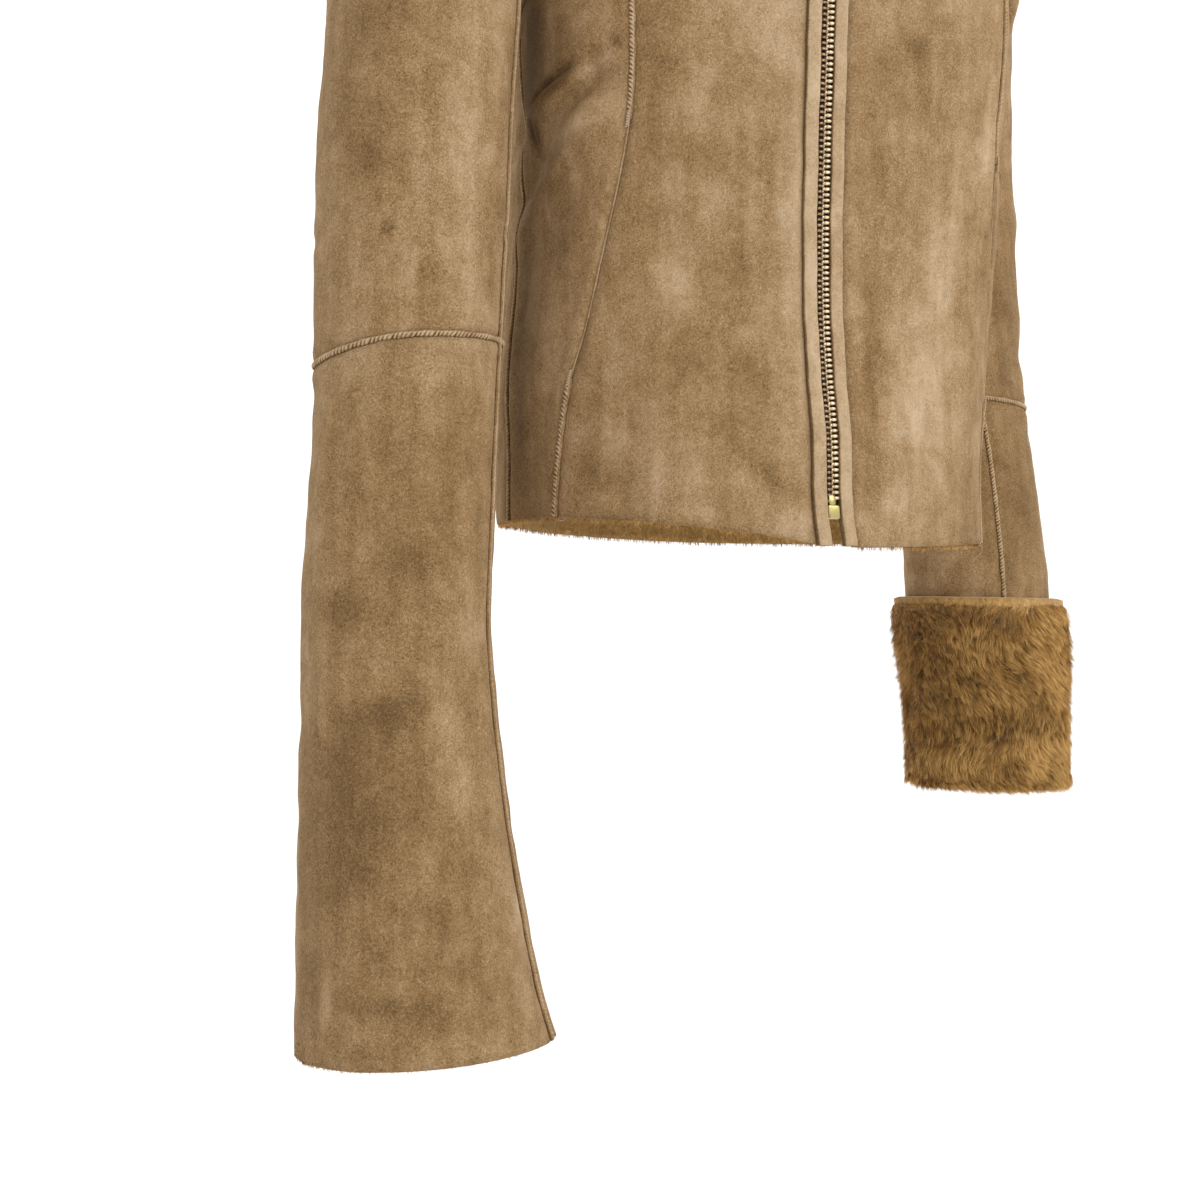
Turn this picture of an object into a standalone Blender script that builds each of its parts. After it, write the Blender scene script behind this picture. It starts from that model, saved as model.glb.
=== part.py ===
"""Zip-front shearling jacket with long flared sleeves, one of them turned up to a deep cuff.

Metres, +Z up. The front faces -Y and the wearer's left is +X. The origin is at the neck base,
between the shoulders that hold the jacket up. Every cloth piece is a wall: suede outside and
pile inside. It follows a body surface or a sleeve surface that is worked out from the tables
below, and neighbouring pieces stop GAP short of each other at their seam.
"""
import math

import bmesh
import bpy
import numpy as np
from mathutils import Vector

MM = 0.001

# ---- driving sizes -----------------------------------------------------------------------
GAP = 0.3 * MM                  # between pieces at a seam
WALL = 6 * MM                   # suede with its pile pressed flat
RIB_HEIGHT = 2.4 * MM           # exposed seam allowance above the suede
RIB_WIDTH = 3.5 * MM            # of one side of a seam
UNDERARM = -0.205               # height of the underarm point
ARM_RISE = 0.17                 # length parameter from the underarm up to the shoulder seam
NECK_HALF = 0.072               # half width of the neckline
SHOULDER_HALF = 0.190
SHOULDER_DROP = 0.045           # from the neckline to the sleeve head
SHOULDER_ROUND = 1.3            # how fast the chest falls back to the shoulder seam
TURN_PIVOT = 0.137              # the chest turns about the centre front line, this far forward
PANEL_EDGE = 15.0 * MM          # front panels start this far from the centre front
HEM_SWAY = 4 * MM               # how far the front corners swing sideways at the hem
COLLAR_HEIGHT = 0.050
CUFF_PILE = 12 * MM             # loose pile on the turned-up cuff
CUFF_SLOT = 1.5 * MM            # air between the sleeve and its turned-up end
CUFF_CLOTH = 2.5 * MM           # suede of the turned-up end
BODY_STEPS = 16                 # rows of points from the hem to the underarm or princess join
FRONT_STEPS = 5                 # up the armhole from the princess join to the shoulder point
SIDE_STEPS = 6                  # along the armhole from the underarm to the princess join
BACK_STEPS = 7                  # up the back armhole
NECK_STEPS = 4                  # along half the front neckline, and along the shoulder seam
BACK_NECK_STEPS = 5


def table(names, *rows):
    """Columns of a short table as arrays, looked up by their names."""
    return dict(zip(names, np.array(sorted(rows)).T))


def read(tab, name, at):
    """Smooth value of one column, with the first column as the position."""
    keys = next(iter(tab.values()))
    values = tab[name]
    step = np.diff(keys)
    slope = np.diff(values) / step
    tangent = np.concatenate([slope[:1], (slope[:-1] + slope[1:]) / 2, slope[-1:]])
    at = np.clip(np.asarray(at, float), keys[0], keys[-1])
    i = np.clip(np.searchsorted(keys, at) - 1, 0, len(step) - 1)
    t = (at - keys[i]) / step[i]
    a, b = values[i], values[i + 1]
    ta, tb = tangent[i] * step[i], tangent[i + 1] * step[i]
    return (a + t * ta + t**2 * (3 * (b - a) - 2 * ta - tb) + t**3 * (2 * (a - b) + ta + tb))


# The body's sections. seam_right and seam_left are the princess seams' distances from the
# centre front, turn is the chest's turn against the hips, in degrees.
BODY = table(
    ("height", "half_width", "front", "back", "square", "turn", "seam_right", "seam_left"),
    (-0.625, 0.197, 0.1408, 0.141, 2.00, 0.0, 0.1800, 0.1800),
    (-0.540, 0.196, 0.1381, 0.137, 2.00, 0.0, 0.1750, 0.1760),
    (-0.500, 0.198, 0.1318, 0.132, 2.10, -0.5, 0.1710, 0.1740),
    (-0.465, 0.197, 0.1272, 0.128, 2.20, -1.2, 0.1627, 0.1700),
    (-0.415, 0.194, 0.1245, 0.125, 2.40, -2.5, 0.1534, 0.1650),
    (-0.360, 0.192, 0.1255, 0.125, 2.60, -3.5, 0.1437, 0.1620),
    (-0.305, 0.192, 0.1285, 0.127, 2.70, -4.0, 0.1368, 0.1610),
    (-0.240, 0.195, 0.1330, 0.130, 2.80, -4.0, 0.1372, 0.1620),
    (-0.200, 0.196, 0.1345, 0.130, 2.80, -4.0, 0.1390, 0.1630))

# The hem's height round the body; angles run from the centre front towards the wearer's left.
HEM = table(
    ("angle", "height"),
    (-180, -0.602), (-90, -0.595), (-64, -0.596), (-40, -0.6008), (-15, -0.6094),
    (0, -0.6172), (20, -0.6164), (45, -0.6125), (64, -0.6094), (90, -0.606), (180, -0.602))

BACK_SQUARE = 0.4               # the back's squareness past 2, as a part of the front's
NECK_ANGLE, TIP_ANGLE = 15.2, 71  # of the neck and shoulder points, from the centre front


def behind(angle):
    """Degrees from the centre back, at the underarm's section, as far out as at the front."""
    front = BODY["square"][-1]
    back = 2 + (front - 2) * BACK_SQUARE
    return math.degrees(math.asin(math.sin(math.radians(angle)) ** (back / front)))


# Half an armhole, from the underarm to the sleeve head. The angles are from the centre front on
# the front and from the centre back on the back; rise is the part of the way up.
ARMHOLE = table(
    ("part", "front", "front_rise", "back", "back_rise"),
    (0.00, 90, 0.00, 90, 0.00),
    (0.25, 76, 0.07, 79, 0.07),
    (0.50, 62, 0.30, 69, 0.30),
    (0.75, 63, 0.62, 67, 0.62),
    (1.00, TIP_ANGLE, 1.00, behind(TIP_ANGLE), 1.00))
PRINCESS_JOIN = 0.50            # the princess seam meets the armhole this far up

# The top edge of half a front or back panel, from its centre line to the shoulder point.
NECK_PART = 0.50                # of the top edge, up to the neck point
FRONT_TOP = table(
    ("part", "angle", "rise"),
    (0.00, 1.5, 0.39), (0.15, 7.5, 0.42), (0.32, 13.0, 0.60),
    (NECK_PART, NECK_ANGLE, 1.00), (0.75, 38, 1.00), (1.00, TIP_ANGLE, 1.00))
BACK_TOP = table(
    ("part", "angle", "rise"),
    (0.00, 0, 0.78), (0.25, 12, 0.84), (NECK_PART, behind(NECK_ANGLE), 1.00),
    (0.75, behind(38), 1.00), (1.00, behind(TIP_ANGLE), 1.00))

# The worn folds of the body, each from one (angle, height) to another: ridges are plus.
FOLDS = (
    # angle, height, angle, height, half width, lift
    (-86, -0.345, -52, -0.285, 10 * MM, -5.0 * MM),
    (-84, -0.375, -50, -0.318, 16 * MM, 4.0 * MM),
    (-80, -0.305, -55, -0.262, 14 * MM, 3.0 * MM),
    (-44, -0.300, -30, -0.420, 20 * MM, -2.0 * MM),
    (24, -0.300, 34, -0.440, 20 * MM, -2.0 * MM),
    (38, -0.420, 48, -0.540, 18 * MM, 2.0 * MM),
    (-30, -0.480, -36, -0.600, 24 * MM, 2.5 * MM),
    (-104, -0.345, -106, -0.610, 36 * MM, 8.0 * MM),
    (-116, -0.250, -112, -0.340, 20 * MM, 6.0 * MM),
    (-97, -0.245, -92, -0.292, 9 * MM, -5.5 * MM),
    (84, -0.350, 58, -0.300, 14 * MM, -3.0 * MM),
    (150, -0.400, 118, -0.350, 16 * MM, -4.0 * MM),
    (152, -0.430, 116, -0.385, 18 * MM, 3.5 * MM),
    (-146, -0.410, -112, -0.360, 16 * MM, -4.5 * MM),
    (-150, -0.445, -114, -0.392, 18 * MM, 3.5 * MM),
    (166, -0.260, 160, -0.420, 22 * MM, -2.5 * MM),
    (-168, -0.250, -158, -0.430, 22 * MM, 2.5 * MM),
    (135, -0.480, 140, -0.602, 26 * MM, 4.0 * MM),
    (-132, -0.470, -138, -0.600, 26 * MM, 4.0 * MM))

# Sleeves from the upper arm to the mouth: the middle of each section, its half sizes across and
# front to back, and how much higher its body side is than its middle. x is away from the body.
SLEEVE_COLUMNS = ("height", "x", "y", "across", "deep", "tilt")
RIGHT_SLEEVE = table(
    SLEEVE_COLUMNS,
    (-0.240, 0.2700, -0.0450, 0.0685, 0.062, 0.003),
    (-0.325, 0.2761, -0.0450, 0.0689, 0.061, 0.004),
    (-0.410, 0.2790, -0.0450, 0.0687, 0.058, 0.005),
    (-0.480, 0.2810, -0.0450, 0.0662, 0.056, 0.0065),
    (-0.600, 0.2869, -0.0476, 0.0660, 0.056, 0.0065),
    (-0.683, 0.2898, -0.0493, 0.0656, 0.057, 0.0065),
    (-0.780, 0.2868, -0.0513, 0.0713, 0.061, 0.006),
    (-0.863, 0.2810, -0.0530, 0.0784, 0.066, 0.003),
    (-0.933, 0.2741, -0.0544, 0.0863, 0.070, 0.000),
    (-0.973, 0.2680, -0.0550, 0.0930, 0.072, -0.001))
LEFT_SLEEVE = table(
    SLEEVE_COLUMNS,
    (-0.240, 0.2490, 0.1000, 0.0660, 0.058, 0.003),
    (-0.300, 0.2520, 0.1000, 0.0660, 0.058, 0.004),
    (-0.383, 0.2518, 0.0908, 0.0660, 0.056, 0.004),
    (-0.475, 0.2493, 0.0803, 0.0665, 0.056, 0.003),
    (-0.525, 0.2549, 0.0751, 0.0665, 0.056, 0.003),
    (-0.562, 0.2569, 0.0700, 0.0670, 0.056, 0.003),
    (-0.618, 0.2640, 0.0700, 0.0670, 0.056, 0.002),
    (-0.660, 0.2675, 0.0700, 0.0675, 0.056, 0.001),
    (-0.740, 0.2745, 0.0690, 0.0620, 0.054, 0.000),
    (-0.835, 0.2770, 0.0680, 0.0620, 0.054, 0.000))
UPPER_ARM = -0.240              # height of the first level section of a sleeve
ELBOW_SEAM = {-1: -0.480, 1: -0.475}
RIGHT_MOUTH = -0.962
MOUTH_RISE = 0.0075             # the right mouth's front edge is higher than its sides
CUFF_TOP = -0.655
CUFF_FOLD = -0.814
SEAM_TURN = {-1: 25, 1: 81}     # the lower sleeve's seam, in degrees forward of the body side

# The sleeves' folds: side, turn and height of both ends, half width and lift.
SLEEVE_FOLDS = (
    (-1, 150, -0.530, 146, -0.720, 12 * MM, 2.0 * MM),
    (-1, 60, -0.330, 110, -0.300, 14 * MM, 2.0 * MM),
    (-1, 40, -0.420, 95, -0.385, 12 * MM, -1.8 * MM),
    (-1, 165, -0.700, 120, -0.760, 9 * MM, -1.8 * MM),
    (-1, 250, -0.560, 235, -0.800, 16 * MM, 2.5 * MM),
    (-1, 290, -0.380, 330, -0.430, 12 * MM, -2.5 * MM),
    (1, 110, -0.330, 150, -0.300, 14 * MM, 2.0 * MM),
    (1, 130, -0.440, 170, -0.415, 12 * MM, -2.0 * MM),
    (1, 250, -0.500, 240, -0.630, 14 * MM, 2.0 * MM),
    (1, 300, -0.380, 330, -0.430, 12 * MM, -2.0 * MM))


# ---- surfaces ----------------------------------------------------------------------------
def power(value, exponent):
    return np.sign(value) * np.abs(value) ** exponent


def unit(vectors):
    return vectors / np.maximum(np.linalg.norm(vectors, axis=-1, keepdims=True), 1e-12)


def square_at(angle, height):
    """Squareness of the section: the back is rounder than the front."""
    front = read(BODY, "square", height)
    back = 2 + (front - 2) * BACK_SQUARE
    return np.where(np.cos(angle) >= 0, front, back)


def body(angle, climb):
    """Point on the body's suede. climb is metres above the underarm, and past that a rise."""
    angle, climb = np.broadcast_arrays(np.asarray(angle, float), np.asarray(climb, float))
    height = UNDERARM + np.minimum(climb, 0)
    bend = 2 / square_at(angle, height)
    depth = np.where(np.cos(angle) >= 0, read(BODY, "front", height), read(BODY, "back", height))
    x = read(BODY, "half_width", height) * power(np.sin(angle), bend)
    y = -depth * power(np.cos(angle), bend)
    swing = np.clip(climb / ARM_RISE, 0, 1) * math.pi / 2
    shoulder = -SHOULDER_DROP * (np.abs(x) - NECK_HALF) / (SHOULDER_HALF - NECK_HALF)
    z = height + (shoulder - UNDERARM) * np.sin(swing)
    y = y * np.maximum(np.cos(swing), 0) ** SHOULDER_ROUND
    sway = np.clip((-0.585 - z) / 0.032, 0, 1) ** 1.5 * np.exp(-(x / 0.08) ** 2)
    x = x + HEM_SWAY * sway * (y < 0)
    turn = np.radians(read(BODY, "turn", z))
    ahead = y + TURN_PIVOT
    return np.stack([x * np.cos(turn) - ahead * np.sin(turn),
                     x * np.sin(turn) + ahead * np.cos(turn) - TURN_PIVOT, z], axis=-1)


def body_normal(angle, climb):
    """Outward normal of the body; both sides of the shoulder seam share theirs."""
    angle, climb = np.broadcast_arrays(np.asarray(angle, float), np.asarray(climb, float))
    step = 2e-3
    near = np.minimum(climb, 0.985 * ARM_RISE)

    def raw(at):
        along = body(at + step, near) - body(at - step, near)
        up = body(at, near + step / 4) - body(at, near - step / 4)
        return unit(np.cross(along, up))
    normal = raw(angle)
    other = raw(math.pi - angle)
    seam = (climb > 0.99 * ARM_RISE)[..., None]
    return np.where(seam, unit(normal + other), normal)


def fold_lift(position, folds):
    """Sum of soft ridges and troughs at (distance round, height) points; each fades at its ends."""
    lift = np.zeros(position.shape[:-1])
    for start, end, half_width, height in folds:
        axis = np.subtract(end, start)
        length = np.linalg.norm(axis)
        axis = axis / length
        offset = position - np.array(start)
        along = offset @ axis
        across = offset[..., 0] * axis[1] - offset[..., 1] * axis[0]
        past = np.maximum(np.maximum(-along, along - length), 0)
        lift = lift + height * np.exp(-(across / half_width) ** 2 - (past / (1.5 * half_width)) ** 2)
    return lift


def body_folds(angle, climb):
    radius = 0.165
    position = np.stack([angle * radius, UNDERARM + np.minimum(climb, 0.05)], axis=-1)
    folds = [((math.radians(a) * radius, b), (math.radians(c) * radius, d), width, lift)
             for a, b, c, d, width, lift in FOLDS]
    wrapped = position.copy()
    wrapped[..., 0] -= 2 * math.pi * radius * np.sign(wrapped[..., 0])
    return fold_lift(position, folds) + fold_lift(wrapped, folds)


def seam_angle(side, climb):
    """Angle of a princess seam below the underarm; above it the seam curves to the armhole."""
    height = UNDERARM + np.minimum(climb, 0)
    reach = read(BODY, "seam_left" if side > 0 else "seam_right", height)
    bend = square_at(0, height) / 2
    angle = np.degrees(np.arcsin((reach / read(BODY, "half_width", height)) ** bend))
    join = float(read(ARMHOLE, "front", PRINCESS_JOIN))
    top = float(read(ARMHOLE, "front_rise", PRINCESS_JOIN)) * ARM_RISE
    blend = np.clip(climb / top, 0, 1) ** 1.5
    return angle + (join - angle) * blend


def hem_climb(angle):
    return read(HEM, "height", (np.asarray(angle) + 180) % 360 - 180) - UNDERARM


def armhole(part, face):
    """(angle from that face's centre, climb) up one side of an armhole."""
    return read(ARMHOLE, face, part), read(ARMHOLE, face + "_rise", part) * ARM_RISE


# ---- building closed walls ---------------------------------------------------------------
def material(name, colour, roughness, metallic=0.0):
    made = bpy.data.materials.new(name)
    made.use_nodes = True
    shader = made.node_tree.nodes["Principled BSDF"]
    shader.inputs["Base Color"].default_value = (*colour, 1)
    shader.inputs["Roughness"].default_value = roughness
    shader.inputs["Metallic"].default_value = metallic
    return made


def add_object(name, points, faces, surface):
    """One closed body with its faces pointing out."""
    mesh = bpy.data.meshes.new(name)
    mesh.from_pydata([tuple(p) for p in points], [], faces)
    work = bmesh.new()
    work.from_mesh(mesh)
    bmesh.ops.recalc_face_normals(work, faces=work.faces)
    if work.calc_volume(signed=True) < 0:
        bmesh.ops.reverse_faces(work, faces=work.faces)
    work.to_mesh(mesh)
    work.free()
    mesh.materials.append(surface)
    mesh.shade_smooth()
    mesh.set_sharp_from_angle(angle=math.radians(40))
    made = bpy.data.objects.new(name, mesh)
    bpy.context.scene.collection.objects.link(made)
    return made


def seam_face(points, a, b, a_inner, b_inner):
    """The two triangles of a wall's edge, split alike on both pieces that meet there."""
    if tuple(points[a][::-1]) > tuple(points[b][::-1]):
        return [(a, a_inner, b_inner), (a, b_inner, b)]
    return [(a, a_inner, b), (a_inner, b_inner, b)]


def sheet_wall(name, outer, inner, surface):
    """Closed wall between two open grids of points."""
    rows, columns = outer.shape[:2]
    points = np.concatenate([outer.reshape(-1, 3), inner.reshape(-1, 3)])
    half = rows * columns
    faces = []
    for r in range(rows - 1):
        for c in range(columns - 1):
            a = r * columns + c
            quad = (a, a + 1, a + columns + 1, a + columns)
            faces += [quad, tuple(half + v for v in reversed(quad))]
    rim = ([(0, c) for c in range(columns)] + [(r, columns - 1) for r in range(1, rows)]
           + [(rows - 1, c) for c in range(columns - 2, -1, -1)]
           + [(r, 0) for r in range(rows - 2, 0, -1)])
    ids = [r * columns + c for r, c in rim]
    for a, b in zip(ids, ids[1:] + ids[:1]):
        faces += seam_face(points, a, b, half + a, half + b)
    return add_object(name, points, faces, surface)


def ring_wall(name, rings, outer_count, surface):
    """Closed tube wall from rings of points that lead down one side and back up the other."""
    points = np.array(rings).reshape(-1, 3)
    count, sides = np.array(rings).shape[:2]
    faces = []
    for r in range(count):
        after = (r + 1) % count
        for c in range(sides):
            d = (c + 1) % sides
            if r == count - 1:
                faces += seam_face(points, c, d, r * sides + c, r * sides + d)
            elif r == outer_count - 1:
                faces += seam_face(points, r * sides + c, r * sides + d,
                                   after * sides + c, after * sides + d)
            else:
                faces.append((r * sides + c, r * sides + d, after * sides + d, after * sides + c))
    return add_object(name, points, faces, surface)


def swept_bar(name, stations, section, surface):
    """Bar along stations of (point, across, out), with a flat section of (across, out) pairs."""
    rings = [[p + a * u + d * n for a, d in section] for p, u, n in stations]
    sides = len(section)
    count = len(rings)
    faces = [(r * sides + c, r * sides + (c + 1) % sides, (r + 1) * sides + (c + 1) % sides,
              (r + 1) * sides + c) for r in range(count - 1) for c in range(sides)]
    faces += [tuple(range(sides)), tuple((count - 1) * sides + c for c in reversed(range(sides)))]
    return add_object(name, np.array(rings).reshape(-1, 3), faces, surface)


def spaced(count, edge, start_rib, end_rib):
    """Even parts from 0 to 1, with one more beside each ribbed edge."""
    parts = list(np.linspace(0, 1, count))
    if start_rib:
        parts.insert(1, edge)
    if end_rib:
        parts.insert(-1, 1 - edge)
    return np.array(parts)


def draw_in(grid, amount):
    """Pull the four edges of a grid in along its surface."""
    moved = grid.copy()
    moved[:, 0] += amount * unit(grid[:, 1] - grid[:, 0])
    moved[:, -1] += amount * unit(grid[:, -2] - grid[:, -1])
    moved[0] += amount * unit(grid[1] - grid[0])
    moved[-1] += amount * unit(grid[-2] - grid[-1])
    return moved


def body_panel(name, bottom, top, left, right, columns, v, width, ribs, surface):
    """A cut panel between four edge curves, each giving (degrees, climb) for parts 0 to 1."""
    left_rib, right_rib, top_rib = ribs
    u = spaced(columns, RIB_WIDTH / width, left_rib, right_rib)

    def edge(curve, parts):
        return np.stack([np.broadcast_to(value, parts.shape) for value in curve(parts)], axis=-1)
    low, high, start, end = edge(bottom, u), edge(top, u), edge(left, v), edge(right, v)
    u2, v2 = u[None, :, None], v[:, None, None]
    ruled = (1 - v2) * low + v2 * high + (1 - u2) * start[:, None] + u2 * end[:, None]
    corners = ((1 - u2) * (1 - v2) * low[0] + u2 * (1 - v2) * low[-1]
               + (1 - u2) * v2 * high[0] + u2 * v2 * high[-1])
    plan = ruled - corners
    angle, climb = np.radians(plan[..., 0]), plan[..., 1]
    normal = body_normal(angle, climb)
    skin = draw_in(body(angle, climb), GAP / 2) + normal * body_folds(angle, climb)[..., None]
    lift = np.zeros(angle.shape)
    if left_rib:
        lift[:, 0] = RIB_HEIGHT
    if right_rib:
        lift[:, -1] = RIB_HEIGHT
    if top_rib:
        lift[-1] = RIB_HEIGHT
    return sheet_wall(name, skin + normal * lift[..., None], skin - normal * WALL, surface)


# ---- body pieces -------------------------------------------------------------------------
def seam_rows():
    """Parts of the way up a seam at which both of its panels have their points."""
    return spaced(BODY_STEPS + 1, RIB_WIDTH / 0.45, False, True)


def front_edge_angle(climb):
    height = UNDERARM + np.minimum(climb, 0)
    reach = (PANEL_EDGE / read(BODY, "half_width", height)) ** (square_at(0, height) / 2)
    return np.degrees(np.arcsin(reach))


def front_top(part):
    """(degrees, climb) along the front's neckline and shoulder; it starts on the front edge."""
    angle = read(FRONT_TOP, "angle", part)
    climb = read(FRONT_TOP, "rise", part) * ARM_RISE
    start = float(read(FRONT_TOP, "rise", 0)) * ARM_RISE
    short = front_edge_angle(start) - float(read(FRONT_TOP, "angle", 0))
    return angle + short * np.clip(1 - part / NECK_PART, 0, 1), climb


def make_front(side, surface):
    name = "front_left" if side > 0 else "front_right"
    join_climb = float(armhole(PRINCESS_JOIN, "front")[1])
    split = BODY_STEPS / (BODY_STEPS + FRONT_STEPS)
    top_start = float(front_top(0.0)[1])

    def bottom(u):
        first = front_edge_angle(hem_climb(side * 3.0))
        last = seam_angle(side, hem_climb(side * 64))
        angle = first + (last - first) * u
        return side * angle, hem_climb(side * angle)

    def top(u):
        angle, climb = front_top(u)
        return side * angle, climb

    def centre(v):
        start = hem_climb(side * 3.0)
        climb = start + (top_start - start) * v
        return side * front_edge_angle(climb), climb

    def seam(v):
        start = hem_climb(side * 64)
        below = start + (join_climb - start) * np.minimum(v / split, 1)
        part = PRINCESS_JOIN + (1 - PRINCESS_JOIN) * np.clip((v - split) / (1 - split), 0, 1)
        hole_angle, hole_climb = armhole(part, "front")
        up = v > split
        return (side * np.where(up, hole_angle, seam_angle(side, below)),
                np.where(up, hole_climb, below))
    rows = np.concatenate([split * seam_rows(), np.linspace(split, 1, FRONT_STEPS + 1)[1:]])
    return body_panel(name, bottom, top, centre, seam, 2 * NECK_STEPS + 1, rows, 0.2,
                      (False, True, False), surface)


def make_side_front(side, surface):
    name = "side_front_left" if side > 0 else "side_front_right"
    join_climb = float(armhole(PRINCESS_JOIN, "front")[1])

    def bottom(u):
        first = seam_angle(side, hem_climb(side * 64))
        angle = first + (90 - first) * u
        return side * angle, hem_climb(side * angle)

    def top(u):
        angle, climb = armhole(PRINCESS_JOIN * (1 - u), "front")
        return side * angle, climb

    def seam(v):
        start = hem_climb(side * 64)
        climb = start + (join_climb - start) * v
        return side * seam_angle(side, climb), climb

    def flank(v):
        start = hem_climb(side * 90)
        return np.full(v.shape, side * 90.0), start * (1 - v)
    return body_panel(name, bottom, top, seam, flank, SIDE_STEPS + 1, seam_rows(), 0.1,
                      (True, True, True), surface)


def make_back(surface):
    split = BODY_STEPS / (BODY_STEPS + BACK_STEPS)

    def bottom(u):
        angle = 90 + 180 * u
        return angle, hem_climb(angle)

    def top(u):
        part = np.abs(2 * u - 1)
        angle = read(BACK_TOP, "angle", part) * np.sign(u - 0.5)
        return 180 + angle, read(BACK_TOP, "rise", part) * ARM_RISE

    def flank(v, side):
        start = hem_climb(side * 90)
        part = np.clip((v - split) / (1 - split), 0, 1)
        hole_angle, hole_climb = armhole(part, "back")
        below = start * (1 - np.minimum(v / split, 1))
        return 180 - side * hole_angle, np.where(v > split, hole_climb, below)
    rows = np.concatenate([split * seam_rows(), np.linspace(split, 1, BACK_STEPS + 1)[1:]])
    return body_panel("back", bottom, top, lambda v: flank(v, 1), lambda v: flank(v, -1),
                      4 * BACK_NECK_STEPS + 1, rows, 0.5, (True, True, False), surface)


def neck_loop():
    """(angle, climb) round the neckline, from the right front edge over the back to the left."""
    front = [tuple(map(float, front_top(p))) for p in np.linspace(0, NECK_PART, NECK_STEPS + 1)]
    back = [(180 - float(read(BACK_TOP, "angle", p)), float(read(BACK_TOP, "rise", p)) * ARM_RISE)
            for p in np.linspace(NECK_PART, 0, BACK_NECK_STEPS + 1)][1:]
    half = front + back
    loop = [(-a, r) for a, r in half] + [(a, r) for a, r in reversed(half[:-1])]
    return np.array(loop)


def collar_point(base, part):
    """Up the stand collar from a point of the neckline; it leans in a little."""
    beside = np.clip((np.abs(base[..., 0]) - 0.02) / 0.04, 0, 1)
    lean = np.stack([-0.10 * base[..., 0] * beside, -0.10 * (base[..., 1] + 0.03),
                     np.full(base.shape[:-1], COLLAR_HEIGHT)], axis=-1)
    return base + lean * part


def step_inside(loop, normal):
    """A step of one seam gap along the surface, from the loop towards its middle."""
    inward = loop.mean(axis=0) - loop
    inward -= np.sum(inward * normal, axis=-1, keepdims=True) * normal
    return unit(inward) * GAP


def draw_in_ends(grid):
    """Pull the two end columns of a grid in along its surface."""
    moved = grid.copy()
    moved[:, 0] += GAP * unit(grid[:, 1] - grid[:, 0])
    moved[:, -1] += GAP * unit(grid[:, -2] - grid[:, -1])
    return moved


def make_collar(surface):
    loop = neck_loop()
    angle, climb = np.radians(loop[:, 0]), loop[:, 1]
    base = body(angle, climb)
    start = body_normal(angle, climb)
    parts = np.array([0.0, 0.16, 0.58, 1.0])
    skin = np.array([collar_point(base, p) for p in parts])
    skin[0] += 3.0 * step_inside(base, start)
    skin = draw_in_ends(skin)
    round_way = np.gradient(base, axis=0)
    level = unit(np.cross(round_way, np.array([0, 0, 1.0])))
    level *= np.sign(np.sum(level * start, axis=-1, keepdims=True) + 1e-9)
    normal = np.array([unit(start * w + level * (1 - w)) for w in (1.0, 0.35, 0.0, 0.0)])
    lift = np.array([RIB_HEIGHT, 0, 0, 0])[:, None, None]
    return sheet_wall("collar", skin + normal * lift, skin - normal * WALL, surface)


# ---- sleeves -----------------------------------------------------------------------------
def armhole_turns():
    """Angles round a sleeve at which the body panels have their points along the armhole."""
    front = list(np.linspace(0, PRINCESS_JOIN, SIDE_STEPS + 1))
    front += list(np.linspace(PRINCESS_JOIN, 1, FRONT_STEPS + 1))[1:]
    back = list(2 - np.linspace(1, 0, BACK_STEPS + 1))[1:-1]
    return math.pi * np.array(front + back)


def turns(side):
    """Angles round a sleeve from the body side forwards, with three more for its seam."""
    seam = math.radians(SEAM_TURN[side])
    width = RIB_WIDTH / 0.06
    return np.array(sorted(list(armhole_turns()) + [seam - width, seam, seam + width]))


def seam_lift(side, angle):
    """Raised seam allowance down the length of a sleeve."""
    off = (angle - math.radians(SEAM_TURN[side]) + math.pi) % (2 * math.pi) - math.pi
    return np.where(np.abs(off) < math.radians(0.5), RIB_HEIGHT, 0)


def sleeve_section(side, height, angle):
    """Points of one section, round from the body side forwards."""
    tab = RIGHT_SLEEVE if side < 0 else LEFT_SLEEVE
    across, deep = read(tab, "across", height), read(tab, "deep", height)
    towards = read(tab, "x", height) - across * np.cos(angle)
    rise = MOUTH_RISE * (side < 0) * np.clip((-0.84 - np.asarray(height)) / 0.12, 0, 1) ** 1.5
    return np.stack([side * towards, read(tab, "y", height) - deep * np.sin(angle),
                     height + read(tab, "tilt", height) * np.cos(angle)
                     + rise * np.sin(angle)], axis=-1)


def armhole_loop(side, angle):
    """(body angle, climb) of the armhole at the same turns as a sleeve section."""
    part = angle / math.pi
    ahead = part <= 1
    up = np.where(ahead, part, 2 - part)
    front_angle, front_climb = armhole(up, "front")
    back_angle, back_climb = armhole(up, "back")
    around = np.where(ahead, front_angle, 180 - back_angle)
    return np.radians(side * around), np.where(ahead, front_climb, back_climb)


def on_armhole(side, angle, values):
    """Values at the armhole's own turns, read along its straight edges at other turns."""
    own = armhole_turns()
    known = values(*armhole_loop(side, own))
    known = np.concatenate([known, known[:1]])
    own = np.append(own, 2 * math.pi)
    return np.stack([np.interp(angle, own, known[:, i]) for i in range(3)], axis=-1)


LEFT_CLOSE = 1.0                # the left sleeve's head lies closer in than the right one's


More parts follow.
